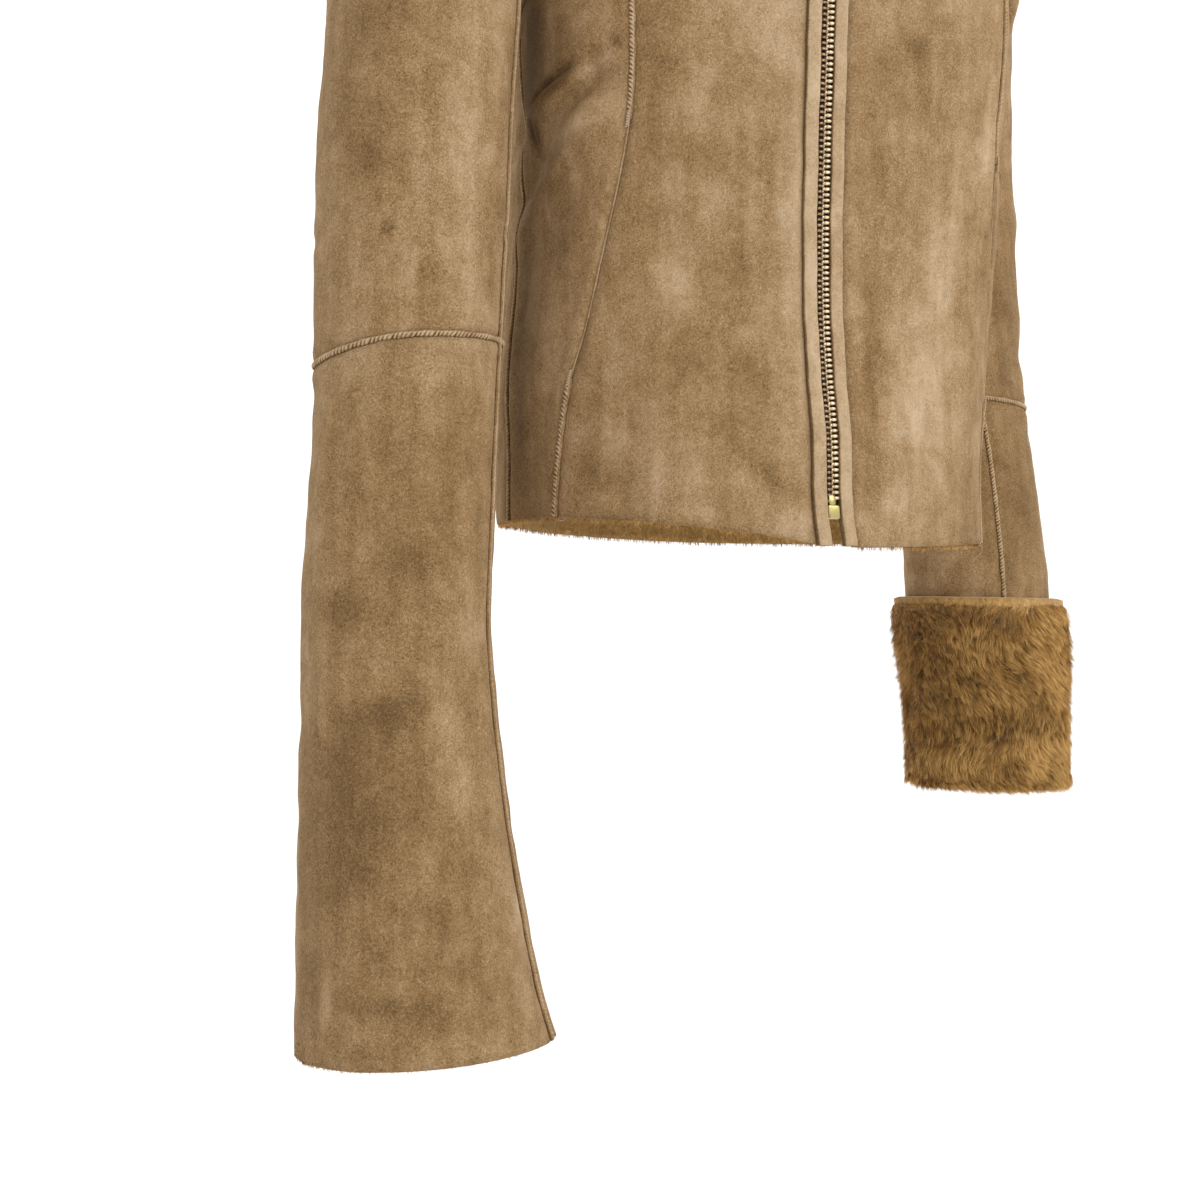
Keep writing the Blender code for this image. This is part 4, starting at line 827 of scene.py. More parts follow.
class PileSettings(bpy.types.PropertyGroup):
    """Colours and lengths of the pile."""
    root: colour_property("Root", "Colour deep in the pile", (0.135, 0.064, 0.017))
    middle: colour_property("Middle", "Colour of most of the pile", (0.415, 0.218, 0.050))
    tip: colour_property("Tip", "Colour at the fibres' tips", (0.690, 0.425, 0.140))
    cuff_length: FloatProperty(name="Cuff pile", description="Length of the cuff's fibres",
                               default=0.0125, min=0.004, max=0.02, unit="LENGTH")
    edge_length: FloatProperty(name="Edge pile", description="Length of the fibres at the edges",
                               default=0.0036, min=0.002, max=0.01, unit="LENGTH")
    cuff_fibres: IntProperty(name="Cuff fibres", default=39000, min=2000, max=39500,
                             description="Fibres in the half of the cuff that shows")


class SeamSettings(bpy.types.PropertyGroup):
    """Sizes of the raised rope seams."""
    width: FloatProperty(name="Width", description="Width of a raised seam",
                         default=0.0050, min=0.002, max=0.01, unit="LENGTH")
    height: FloatProperty(name="Height", description="Height of a raised seam",
                          default=0.0028, min=0.001, max=0.006, unit="LENGTH")
    pitch: FloatProperty(name="Stitch", description="Distance between two whip stitches",
                         default=0.0030, min=0.0015, max=0.008, unit="LENGTH")


class ZipSettings(bpy.types.PropertyGroup):
    """Sizes and colours of the zip."""
    pitch: FloatProperty(name="Tooth pitch", description="Distance between two teeth on one side",
                         default=0.00395, min=0.002, max=0.008, unit="LENGTH")
    dark: colour_property("Tarnish", "Colour of the teeth's dark metal", (0.190, 0.115, 0.058))
    bright: colour_property("Bright metal", "Colour of the teeth's rubbed metal",
                            (0.760, 0.600, 0.400))
    gold: colour_property("Retainer", "Colour of the pale retainer box", (0.600, 0.500, 0.215))


class StageSettings(bpy.types.PropertyGroup):
    """Strengths of the soft studio light."""
    key: FloatProperty(name="Key light", description="Power of the large soft light", default=24.5,
                       min=0, max=500, unit="POWER")
    fill: FloatProperty(name="Fill light", description="Power of the light from the left",
                        default=1.5, min=0, max=500, unit="POWER")
    air: FloatProperty(name="Surrounding light", description="Strength of the white surroundings",
                       default=0.79, min=0, max=5)


LINING_PALER = (0.115, 0.080, 0.042)    # what the flattened pile inside is lighter by
MATERIALS = {}


def finish(name):
    """A material by its name, made on its first use from the settings."""
    if name in MATERIALS:
        return MATERIALS[name]
    scene = bpy.context.scene
    suede, pile, metal = scene.jacket_suede, scene.jacket_pile, scene.jacket_zip
    nap = [tuple(suede.dark), tuple(suede.middle), tuple(suede.light)]
    fur = [tuple(pile.root), tuple(pile.middle), tuple(pile.tip)]
    if name.startswith("suede"):
        part = sum(ord(c) for c in name)
        made = suede_material(name, *nap, offset=(part * 0.37 % 3, part * 0.71 % 3, 0))
    elif name == "pile_lining":
        made = pile_material(name, *(tuple(c * 0.8 + m for c, m in zip(colour, LINING_PALER))
                                     for colour in fur))
    elif name == "pile_fibres":
        made = strand_material(name, *fur)
    elif name == "seam_thread":
        made = tape_material(name, tuple(c * 0.8 for c in nap[1]), nap[2])
    elif name == "zip_tape":
        made = tape_material(name, (0.105, 0.066, 0.036), (0.210, 0.140, 0.082))
    elif name == "antique_brass":
        made = metal_material(name, tuple(metal.dark), tuple(metal.bright), 0.30)
    elif name == "pale_brass":
        made = metal_material(name, tuple(c * 0.75 for c in metal.gold), tuple(metal.gold), 0.28)
    MATERIALS[name] = made
    return made


def tagged(work, slot, *nodes):
    """Hides the imported nodes that a piece stands for, and returns the piece; its slot is not
    used.
    """
    if nodes:
        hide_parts(*nodes)
    return work


def cloth(name):
    """The two materials of a wall of cloth: suede of one cut, and the pile inside."""
    return finish("suede_" + name), finish("pile_lining")


# ---- seams -------------------------------------------------------------------------------
def resample(path, step, *others):
    """A path and what goes with it, at even steps along its length."""
    gone = np.concatenate([[0], np.cumsum(np.linalg.norm(np.diff(path, axis=0), axis=-1))])
    count = max(4, int(round(gone[-1] / step)) + 1)
    at = np.linspace(0, gone[-1], count)
    made = [np.stack([np.interp(at, gone, values[:, i]) for i in range(3)], axis=-1)
            for values in (path, *others)]
    return at, made[0], [unit(m) for m in made[1:]]


def rope_seam(name, path, out, nick_side, plain=False, scale=1.0):
    """Raised seam along a path: a soft rib with slanted whip stitches along one edge."""
    sizes = bpy.context.scene.jacket_seam
    at, line, (out,) = resample(np.asarray(path), sizes.pitch / 5, np.asarray(out))
    along = unit(np.gradient(line, axis=0))
    across = unit(np.cross(along, out)) * nick_side
    out = unit(np.cross(across, along)) * np.sign(np.sum(np.cross(across, along) * out))
    # across the rope, its round section, and its uneven width and pull along the seam
    steps = np.linspace(-1, 1, 11)
    crown = np.maximum(1 - np.abs(steps) ** 2.6, 0) ** 0.55
    swell, ripple, tug, pinch = (at * FULL_TURN / wave for wave in (0.021, 0.0083, 0.0137, 0.0071))
    reach = 0.5 * sizes.width * scale * (1 + 0.10 * np.sin(swell) + 0.05 * np.sin(ripple))
    pull = 0.5 * np.sin(tug) + 0.3 * np.sin(pinch + 1)
    turn = FULL_TURN * (at[:, None] / sizes.pitch - 0.55 * steps[None]) + pull[:, None]
    # a slanted nick for each whip stitch, and the fine row of thread where the nicks end
    nick = (0.5 + 0.5 * np.cos(turn)) ** 2.4 * np.clip((steps + 0.75) / 1.1, 0, 1)[None]
    nick = nick * (0.8 + 0.4 * pull[:, None])
    stitch = np.exp(-((steps[None] + 0.62) / 0.13) ** 2) * (0.7 + 0.3 * np.cos(turn + 1.5))
    if plain:
        nick, stitch = nick * 0.0, stitch * 0.5
        crown = crown * np.clip(0.75 - 0.45 * steps, 0, 1)
    height = sizes.height * scale * (crown[None] * (1 - 0.68 * nick) - 0.20 * stitch) - 0.5 * MM
    points = (line[:, None] + across[:, None] * (steps[None] * reach[:, None])[..., None]
              + out[:, None] * height[..., None])
    # the rope's tone is painted light: a painted highlight on its crown, and painted shade in the
    # nicks, along the row of thread and at its edges
    tone = (0.9 * crown[None] - 2.7 * nick - 1.2 * stitch
            - 5.0 * np.clip(np.abs(steps) - 0.70, 0, 1)[None])
    # a plain lip keeps less of this painted light, least on one side
    if plain:
        tone = tone * np.where(steps < 0, 0.6, 0.15)[None]
    rows, columns = points.shape[:2]
    row = np.arange(rows - 1) * columns
    base = np.stack([row, row + columns, row + 2 * columns - 1, row + columns - 1], axis=-1)
    faces = [grid_faces(rows, columns), base, *end_caps(rows, columns)]
    work = piece(name, points, faces, finish("suede_seams"), values={"nap": tone})
    return tagged(work, "suede")


def surface_seam(name, angle, climb, nick_side, plain=False, scale=1.0):
    """A seam that runs on the body's surface through (angle in radians, climb)."""
    normal = body_normal(angle, climb)
    path = body(angle, climb) + normal * (body_relief(angle, climb) - SEAM_SUNK)[..., None]
    return rope_seam(name, path, normal, nick_side, plain, scale)


# ---- body --------------------------------------------------------------------------------
def edge_curve(side, find):
    """An edge of a panel on one side of the body, from its (degrees, climb) on the left side."""
    def curve(part):
        angle, climb = find(part)
        return side * angle, climb
    return curve


def hem_edge(side, first, last):
    """The hem between two numbers of degrees."""
    def find(part):
        angle = first + (last - first) * part
        return angle, hem_climb(side * angle)
    return edge_curve(side, find)


def front_curves(side):
    """Bottom, top, centre edge and side seam of a front, up to the armhole's tip."""
    join = float(armhole(PRINCESS_JOIN, "front")[1])
    low_front, low_seam = hem_climb(side * HEM_FRONT), hem_climb(side * HEM_SEAM)
    split = 0.76
    top_start = float(front_top(0.0)[1])

    def centre(v):
        climb = low_front + (top_start - low_front) * v
        return front_edge_angle(climb), climb

    def seam(v):
        below = low_seam + (join - low_seam) * np.minimum(v / split, 1)
        part = PRINCESS_JOIN + (1 - PRINCESS_JOIN) * np.clip((v - split) / (1 - split), 0, 1)
        hole_angle, hole_climb = armhole(part, "front")
        up = v > split
        return (np.where(up, hole_angle, seam_angle(side, below)), np.where(up, hole_climb, below))
    return (hem_edge(side, front_edge_angle(low_front), seam_angle(side, low_seam)),
            *(edge_curve(side, find) for find in (front_top, centre, seam)))


def side_curves(side):
    """Bottom, top, princess seam and flank of a side panel, up to the armhole's front."""
    join = float(armhole(PRINCESS_JOIN, "front")[1])
    low_seam = hem_climb(side * HEM_SEAM)

    def top(u):
        return armhole(PRINCESS_JOIN * (1 - u), "front")

    def seam(v):
        climb = low_seam + (join - low_seam) * v
        return seam_angle(side, climb), climb

    def flank(v):
        return np.full(v.shape, float(FLANK)), hem_climb(side * FLANK) * (1 - v)
    return (hem_edge(side, seam_angle(side, low_seam), FLANK),
            *(edge_curve(side, find) for find in (top, seam, flank)))


def back_curves():
    """Bottom, top and two flanks of the back, up over the shoulders."""
    split = 0.70

    def bottom(u):
        angle = FLANK + 180 * u
        return angle, hem_climb(angle)

    def top(u):
        part = np.abs(2 * u - 1)
        return (180 + read(BACK_TOP, "angle", part) * np.sign(u - 0.5),
                read(BACK_TOP, "rise", part) * ARM_RISE)

    def flank(v, side):
        part = np.clip((v - split) / (1 - split), 0, 1)
        hole_angle, hole_climb = armhole(part, "back")
        below = hem_climb(side * FLANK) * (1 - np.minimum(v / split, 1))
        return 180 - side * hole_angle, np.where(v > split, hole_climb, below)
    return bottom, top, lambda v: flank(v, 1), lambda v: flank(v, -1)


class JACKET_OT_body(bpy.types.Operator):
    """Front, side and back panels of suede with pile inside, and the stand collar"""
    bl_idname = "jacket.body"
    bl_label = "Body panels"

    def execute(self, context):
        for side in (-1, 1):
            name = SIDE_NAME[side]
            self.cut("front_" + name, front_curves(side), (0.22, 0.56), (True, True, False),
                     10 + side, "front_" + name, (0.24, 0.56), 0.105)
            self.cut("side_front_" + name, side_curves(side), (0.10, 0.44), (True, True, True),
                     20 + side, "side_" + name, (0.12, 0.45), 0.042,
                     WRINKLE_STEP if side < 0 else PANEL_STEP)
        self.cut("back", back_curves(), (0.54, 0.60), (True, True, False), 30, "back",
                 (0.54, 0.64), 0.295, BACK_STEP)
        tagged(self.collar(), "suede", "collar")
        return {"FINISHED"}

    def cut(self, node, curves, size, fine, seed, suede, flat, area, step=PANEL_STEP):
        """One panel as it lies on the body, with its imported node hidden."""
        work = panel(node + "_cloth", *curves, size, fine, seed, cloth(suede), step)
        tagged(work, "suede", node)

    def collar(self):
        loop = neck_loop(40)
        angle, climb = np.radians(loop[:, 0]), loop[:, 1]
        base, start = body(angle, climb), body_normal(angle, climb)
        parts = np.array([0.0, 0.03, 0.08, 0.16, 0.3, 0.45, 0.6, 0.75, 0.88, 0.96, 1.0])
        skin = np.array([collar_point(base, p) for p in parts])
        level = unit(np.cross(np.gradient(base, axis=0), UP))
        level *= np.sign(np.sum(level * start, axis=-1, keepdims=True) + 1e-9)
        weight = np.clip(1 - parts / 0.3, 0, 1)
        normal = np.array([unit(start * w + level * (1 - w)) for w in weight])
        lift = waves(skin, 41, 0.03, 0.09, 0.5 * MM) + 1.2 * MM * np.sin(math.pi * parts)[:, None]
        outer = skin + normal * lift[..., None]
        inner = outer - normal * WALL
        return shell("collar_cloth", outer[::-1], inner[::-1], cloth("collar"),
                     nap_and_shade_tone(outer, normal)[::-1])


# ---- sleeves -----------------------------------------------------------------------------
TURNS = np.linspace(0, FULL_TURN, SECTION_POINTS + 1)[:-1]


def sleeve_skin(side, rows, seed, start_seam, end_seam):
    """Suede points and normals of a sleeve piece, with folds and the pull of its seams."""
    skin = np.array(rows)
    normal = tube_normals(skin)
    lift = sleeve_relief(side, skin, TURNS)
    down = np.cumsum(np.linalg.norm(np.diff(skin, axis=0, prepend=skin[:1]), axis=-1), axis=0)
    off = (TURNS - math.radians(SEAM_TURN[side]) + math.pi) % FULL_TURN - math.pi
    near = np.broadcast_to(np.abs(off) * 0.064, lift.shape)
    if start_seam:
        near = np.minimum(near, down)
    if end_seam:
        near = np.minimum(near, down[-1:] - down)
    lift = lift + seam_dip(near) + unevenness(skin, near, seed, 0.15, 0.6 * MM)
    return skin + normal * lift[..., None], normal


def sections(side, start, end, fine_start, fine_end):
    """Sections of a sleeve between two heights."""
    parts = spaced(abs(end - start), SLEEVE_STEP, fine_start, fine_end)
    return [sleeve_section(side, z, TURNS) for z in start + (end - start) * parts]


class JACKET_OT_sleeves(bpy.types.Operator):
    """Upper and lower sleeves of suede, the left one turned up into a deep cuff"""
    bl_idname = "jacket.sleeves"
    bl_label = "Sleeves"

    def execute(self, context):
        for side in (-1, 1):
            name = SIDE_NAME[side]
            head = np.concatenate([[0, 0.008, 0.018, 0.032], np.linspace(0.05, 0.97, 26)])
            rows = [sleeve_head(side, p, TURNS) for p in head]
            rows += sections(side, UPPER_ARM, ELBOW[side], False, True)
            outer, normal = sleeve_skin(side, rows, 50 + side, True, True)
            # the pile is pressed thin in the narrow turn under the arm
            pressed = (np.clip((outer[..., 2] - UPPER_ARM) / 0.02, 0, 1)
                       * np.clip(np.cos(TURNS), 0, 1))
            inner = outer - normal * (WALL * (1 - 0.85 * pressed))[..., None]
            work = shell("upper_sleeve_" + name + "_cloth", outer, inner,
                         cloth("upper_" + name), nap_and_shade_tone(outer, normal), wrap=True)
            tagged(work, "suede", "upper_sleeve_" + name)
        self.lower_right()
        self.lower_left()
        return {"FINISHED"}

    def lower_right(self):
        rows = sections(-1, ELBOW[-1], RIGHT_MOUTH, True, False)
        outer, normal = sleeve_skin(-1, rows, 61, True, False)
        inner = outer - normal * (WALL + waves(outer, 62, 0.008, 0.02, 0.4 * MM))[..., None]
        work = shell("lower_sleeve_right_cloth", outer, inner, cloth("lower_right"),
                     nap_and_shade_tone(outer, normal), wrap=True)
        tagged(work, "suede", "lower_sleeve_right")

    def lower_left(self):
        """Suede down to the fold, then the turned-up end's pile side, and the pile inside."""
        outer, normal = sleeve_skin(1, sections(1, ELBOW[1], CUFF_FOLD, True, False), 71,
                                    True, False)
        inner = outer - normal * WALL

        def ring(height, offset):
            skin = sleeve_section(1, height, TURNS)
            out = sideways(skin - skin.mean(axis=0))
            made = skin + out * offset
            return made + out * waves(made, 72, 0.02, 0.06, 1.0 * MM)[:, None]
        # how far out the gap behind the cuff, the suede's edge and the pile's face are
        slot, edge, deep = 3.9 * MM, 6.4 * MM, 10.5 * MM
        low = CUFF_FOLD
        path = [(low, slot), (-0.78, slot), (-0.72, slot), (CUFF_TOP + 0.0015, slot),
                (CUFF_TOP + 0.0022, slot + 0.6 * MM), (CUFF_TOP + 0.0018, edge),
                (CUFF_TOP + 0.0005, deep)]
        path += [(z, deep) for z in np.linspace(CUFF_TOP - 0.004, low - 0.001, 34)]
        path += [(low - 0.004, deep - 3 * MM), (low - 0.006, deep - 7 * MM),
                 (low - 0.006, -1 * MM)]
        cuff = np.array([ring(z, offset) for z, offset in path])
        rings = np.concatenate([outer, cuff, inner[::-1]])
        rows, columns = rings.shape[:2]
        faces = grid_faces(rows, columns, True)
        here, last = np.arange(columns), (rows - 1) * columns
        after = (here + 1) % columns
        closing = np.stack([here + last, after + last, after, here], axis=-1)
        suede_rows = len(outer) + 5
        which = np.concatenate([np.where(np.arange(len(faces)) < suede_rows * columns, 0, 1),
                                np.ones(columns)])
        tone = np.zeros(rings.shape[:2])
        tone[:len(outer)] = nap_and_shade_tone(outer, normal)
        tone[len(outer) + 2:len(outer) + 6] = 1.3        # the cut edge shows as a pale line
        work = piece("lower_sleeve_left_cloth", rings, [faces, closing], cloth("lower_left"),
                     which, {"nap": tone})
        tagged(work, "pile", "lower_sleeve_left")


class JACKET_OT_seams(bpy.types.Operator):
    """Raised rope seams, pocket lips and bar tacks"""
    bl_idname = "jacket.seams"
    bl_label = "Seams"

    def execute(self, context):
        for side in (-1, 1):
            self.body_seams(side, SIDE_NAME[side])
            self.sleeve_seams(side, SIDE_NAME[side])
        loop = neck_loop(60)
        surface_seam("collar_seam", np.radians(loop[:, 0]), loop[:, 1], -1, scale=0.9)
        return {"FINISHED"}

    def body_seams(self, side, name):
        join = float(armhole(PRINCESS_JOIN, "front")[1])
        hem = float(hem_climb(side * HEM_SEAM))

        def princess(label, start, end, plain=False, scale=1.0):
            climb = np.linspace(start, end, 60)
            return surface_seam(label + name, np.radians(side * seam_angle(side, climb)), climb,
                                side, plain, scale)
        princess("princess_seam_low_", hem + 0.5 * MM, POCKET_END - UNDERARM, scale=1.15)
        princess("pocket_lip_", POCKET_END - UNDERARM, POCKET_TOP - UNDERARM, True, 0.45)
        princess("princess_seam_high_", POCKET_TOP - UNDERARM, join)
        climb = np.linspace(float(hem_climb(side * FLANK)), 0, 60)
        surface_seam("side_seam_" + name, np.full(climb.shape, math.radians(side * FLANK)),
                     climb, -side)
        angle = np.radians(np.linspace(NECK_ANGLE, TIP_ANGLE, 40)) * side
        surface_seam("shoulder_seam_" + name, angle, np.full(angle.shape, ARM_RISE), side,
                     scale=0.9)
        for label, height in (("bar_tack_high_", POCKET_TOP), ("bar_tack_low_", POCKET_END)):
            self.bar_tack(label + name, side, height)

    def bar_tack(self, name, side, height):
        """Close zigzag of thread that holds one end of a pocket opening."""
        turns, reach, half_width, thread = 14, 5.5 * MM, 1.6 * MM, 0.32 * MM
        t = np.linspace(0, 1, turns * 8 + 1)
        climb = height - UNDERARM + reach * (2 * t - 1)
        angle = np.radians(side * seam_angle(side, climb))
        normal = body_normal(angle, climb)
        aside = unit(np.cross(normal, UP))
        turn = t * turns * FULL_TURN
        rise = body_relief(angle, climb) + 1.9 * MM + 0.4 * MM * np.cos(2 * turn)
        path = (body(angle, climb) + normal * rise[:, None]
                + aside * (half_width * np.sin(turn))[:, None])
        thread_tube(name, path, thread, "seam_thread")

    def sleeve_seams(self, side, name):
        angle = np.linspace(0, FULL_TURN, 160)
        hole = armhole_loop(side, angle)
        surface_seam("armhole_seam_" + name, *hole, side)
        elbow = sleeve_section(side, ELBOW[side], angle)
        out = sideways(elbow - elbow.mean(axis=0))
        lift = sleeve_relief(side, elbow[None], angle)[0] - SEAM_SUNK
        rope_seam("elbow_seam_" + name, elbow + out * lift[:, None], out, side)
        seam = math.radians(SEAM_TURN[side])
        parts = np.linspace(0.02, 0.96, 24)
        head = [sleeve_head(side, p, np.array([seam]))[0] for p in parts]
        head_out = [unit(point - sleeve_head(side, p, TURNS).mean(axis=0))
                    for point, p in zip(head, parts)]

        def down(start, end, count):
            heights = np.linspace(start, end, count)
            points = np.array([sleeve_section(side, z, seam) for z in heights])
            rings = np.array([sleeve_section(side, z, TURNS) for z in heights])
            outward = sideways(points - rings.mean(axis=1))
            relief = sleeve_relief(side, points[:, None], np.array([seam]))[:, 0] - SEAM_SUNK
            return points + outward * relief[:, None], outward
        upper, upper_out = down(UPPER_ARM, ELBOW[side] + 1 * MM, 40)
        rope_seam("sleeve_seam_upper_" + name, np.concatenate([head, upper]),
                  np.concatenate([head_out, upper_out]), side)
        end = RIGHT_MOUTH if side < 0 else CUFF_TOP - 0.01
        lower, lower_out = down(ELBOW[side] - 1 * MM, end, 60)
        rope_seam("sleeve_seam_lower_" + name, lower, lower_out, side)


def thread_tube(name, path, radius, material, sides=6, slot="suede"):
    """Round thread or wire along a path."""
    path = np.asarray(path, float)
    along = unit(np.gradient(path, axis=0))
    guide = np.array([0.31, -0.9, 0.3])
    across = unit(np.cross(along, guide))
    up = np.cross(across, along)
    turn = np.linspace(0, FULL_TURN, sides + 1)[:-1]
    points = (path[:, None] + radius * (across[:, None] * np.cos(turn)[None, :, None]
                                        + up[:, None] * np.sin(turn)[None, :, None]))
    faces = [grid_faces(len(path), sides, True), *end_caps(len(path), sides)]
    return tagged(piece(name, points, faces, finish(material)), slot)


# ---- pile --------------------------------------------------------------------------------
FIBRE_WIDTHS = ((0.0, 1.0), (0.35, 1.0), (0.7, 0.75), (1.0, 0.0))    # part along, part of width
FIBRE_POINTS = 7
BACK_SHARE = 0.50                              # fibres of the cuff's far half to the near one's
UNDER_SHARE, UNDER_DROP = 0.14, 4.5 * MM       # those that fill the cuff's fold from below
CUFF_WIDTH, CUFF_LOCK = 0.42 * MM, 0.0042      # a fibre's width, and how far apart the locks are
EDGE_WIDTH, EDGE_LOCK = 0.36 * MM, 0.0022
HEM_FIBRES, MOUTH_FIBRES, COLLAR_FIBRES = 12500, 5500, 4200


def fibres(name, root, out, fall, length, width, seed, lock_size):
    """Fibres as thin tapered ribbons that bend from out towards fall and gather into locks."""
    draw = np.random.default_rng(seed)
    count = len(root)
    # every fibre joins the nearest lock, whose middle is one of the roots
    centre = root[draw.random(count) < MM * MM / (lock_size * lock_size)]
    near = KDTree(len(centre))
    for i, point in enumerate(centre):
        near.insert(point, i)
    near.balance()
    group = np.array([near.find(point)[1] for point in root])
    lock_draw = draw.random(len(centre))
    sway = draw.normal(size=(len(centre), 3)) * 0.20
    length = length * (0.72 + 0.4 * draw.random(count)) * (0.9 + 0.2 * lock_draw[group])
    bend = unit(fall + sway[group] + draw.normal(size=(count, 3)) * 0.09)
    start = unit(out + fall * 0.5 + draw.normal(size=(count, 3)) * 0.12)
    gather = (centre[group] - root) * 0.4
    side = unit(np.cross(bend, draw.normal(size=(count, 3))))
    points, tips = [], []
    for t, wide in FIBRE_WIDTHS:
        line = (root + start * (length * t * (1 - 0.45 * t))[:, None]
                + bend * (length * 0.62 * t * t)[:, None] + gather * t * t)
        shift = side * (width * wide * 0.5)
        points += [line - shift, line + shift] if wide else [line]
        tips += [np.full(count, t)] * (2 if wide else 1)
    points = np.stack(points, axis=1)
    first = np.arange(count)[:, None] * FIBRE_POINTS
    quads = np.concatenate([first + [[0, 1, 3, 2]], first + [[2, 3, 5, 4]]])
    tris = first + [[4, 5, 6]]
    tip = np.stack(tips, axis=1)
    # each fibre takes the tone of the marks at its root: nap, and painted shade and highlights on
    # the cuff
    tone = np.repeat(nap_and_shade_tone(root, unit(out))[:, None], FIBRE_POINTS, axis=1)
    locks = np.repeat(lock_draw[group][:, None], FIBRE_POINTS, axis=1)
    work = piece(name, points, [quads, tris], finish("pile_fibres"),
                 values={"tip": tip, "lock": locks, "nap": tone})
    tagged(work, "pile")


class JACKET_OT_pile(bpy.types.Operator):
    """Loose pile of the turned-up cuff, and fringes of pile along the raw edges"""
    bl_idname = "jacket.pile"
    bl_label = "Pile"

    def execute(self, context):
        sizes = context.scene.jacket_pile
        self.cuff(sizes)
        self.edges(sizes)
        return {"FINISHED"}

    def cuff(self, sizes):
        draw = np.random.default_rng(5)
        for label, start, share in (("front", 0.0, 1.0), ("back", math.pi, BACK_SHARE)):
            count = int(sizes.cuff_fibres * share)
            angle = start + math.pi * draw.random(count)
            height = CUFF_TOP - 0.0035 + (CUFF_FOLD - 0.004 - CUFF_TOP) * draw.random(count)
            under = draw.random(count) < UNDER_SHARE
            height[under] = CUFF_FOLD - UNDER_DROP
            skin = sleeve_section(1, height, angle)
            out = sleeve_out(1, height, skin)
            root = skin + out * np.where(under, 10 - 8 * draw.random(count), 10.0)[:, None] * MM
            swirl = 0.45 + waves(skin, 81, 0.05, 0.14, 0.75)
            lift = waves(skin, 82, 0.02, 0.07, 0.45)
            around = np.stack([-out[:, 1], out[:, 0], np.zeros(count)], axis=-1)
            low = np.clip((CUFF_FOLD + 0.03 - height) / 0.03, 0, 1)
            fall = (around * swirl[:, None] * 0.75 + out * (0.02 + 0.32 * lift)[:, None]
                    + DOWN * (0.9 + 0.3 * low)[:, None])
            top = np.clip((height - CUFF_TOP + 0.012) / 0.012, 0, 1)
            length = sizes.cuff_length * (1 - 0.45 * top) * (1 - 0.20 * low)
            fibres("cuff_pile_" + label, root, out, unit(fall), length, CUFF_WIDTH, 83, CUFF_LOCK)

    def edges(self, sizes):
        draw = np.random.default_rng(9)

        def fringe(name, root, out, fall, length, seed):
            fibres(name, root, out, fall, length, EDGE_WIDTH, seed, EDGE_LOCK)
        # hem: all round, inside the suede
        angle = (draw.random(HEM_FIBRES) * 2 - 1) * 180
        angle = angle[np.abs(angle) > 5]
        climb = hem_climb(angle) + 0.016 * draw.random(len(angle)) ** 1.6
        turn = np.radians(angle)
        normal = body_normal(turn, climb)
        depth = (1.3 + 3.4 * draw.random(len(angle))) * MM
        root = body(turn, climb) + normal * (body_relief(turn, climb) - depth)[:, None]
        fringe("hem_pile", root, DOWN - 0.5 * normal, DOWN + 0.1 * normal, sizes.edge_length, 91)
        # the wide mouth of the right sleeve
        turn = draw.random(MOUTH_FIBRES) * FULL_TURN
        height = RIGHT_MOUTH + 0.014 * draw.random(MOUTH_FIBRES) ** 1.6
        skin = sleeve_section(-1, height, turn)
        out = sleeve_out(-1, height, skin)
        root = skin - out * ((1.6 + 3.2 * draw.random(MOUTH_FIBRES)) * MM)[:, None]
        fringe("sleeve_mouth_pile", root, DOWN - 0.6 * out, DOWN - 0.1 * out,
               sizes.edge_length * 0.8, 92)
        # the collar's top edge
        loop = neck_loop(120)
        rim = body(np.radians(loop[:, 0]), loop[:, 1])
        pick = draw.random(COLLAR_FIBRES) * (len(rim) - 1)
        base = np.stack([np.interp(pick, np.arange(len(rim)), rim[:, i]) for i in range(3)],
                        axis=-1)
        out = sideways(base - base.mean(axis=0))
        root = collar_point(base, 1.0) - out * ((1.5 + 3.2 * draw.random(len(base))) * MM)[:, None]
        root[:, 2] -= 0.010 * draw.random(len(base)) ** 1.5
        fringe("collar_pile", root, UP - 0.6 * out, UP - 0.3 * out, sizes.edge_length, 93)


# ---- zip ---------------------------------------------------------------------------------
BAND_INNER, BAND_OUTER, BAND_RAISE = 6.2 * MM, 15.2 * MM, 2.5 * MM
BAND_BACK = -3.6 * MM                 # the band's underside, behind the suede's surface
BOX_TOP, BOX_BOTTOM = -0.5886, -0.5985
SLIDER_LENGTH = 17 * MM


def front_line():
    """Points, across and out directions up the centre front, from the hem to the collar's top."""
    climbs = np.concatenate([np.linspace(hem_climb(0), -0.36, 12),
                             np.linspace(-0.35, NECK_CLIMB, 40)])
    points = body(0.0, climbs)
    across = unit(body(0.03, climbs) - body(-0.03, climbs))
    out = body_normal(np.zeros(climbs.shape), climbs)
    ahead = unit(np.cross(across[-1], UP))
    parts = np.linspace(0, 1, 9)[1:]
    collar = np.array([collar_point(points[-1], p) for p in parts])
    blend = np.clip(parts / 0.4, 0, 1)[:, None]
    return (np.concatenate([points, collar]),
            np.concatenate([across, np.repeat(across[-1:], len(parts), axis=0)]),
            np.concatenate([out, unit(out[-1] * (1 - blend) + ahead * blend)]))


def frames_along(step, low, high):
    """Evenly spaced frames of the centre front between two heights."""
    points, across, out = front_line()
    at, line, (across, out) = resample(points, step, across, out)
    keep = (line[:, 2] >= low) & (line[:, 2] <= high)
    return at[keep], line[keep], across[keep], out[keep]


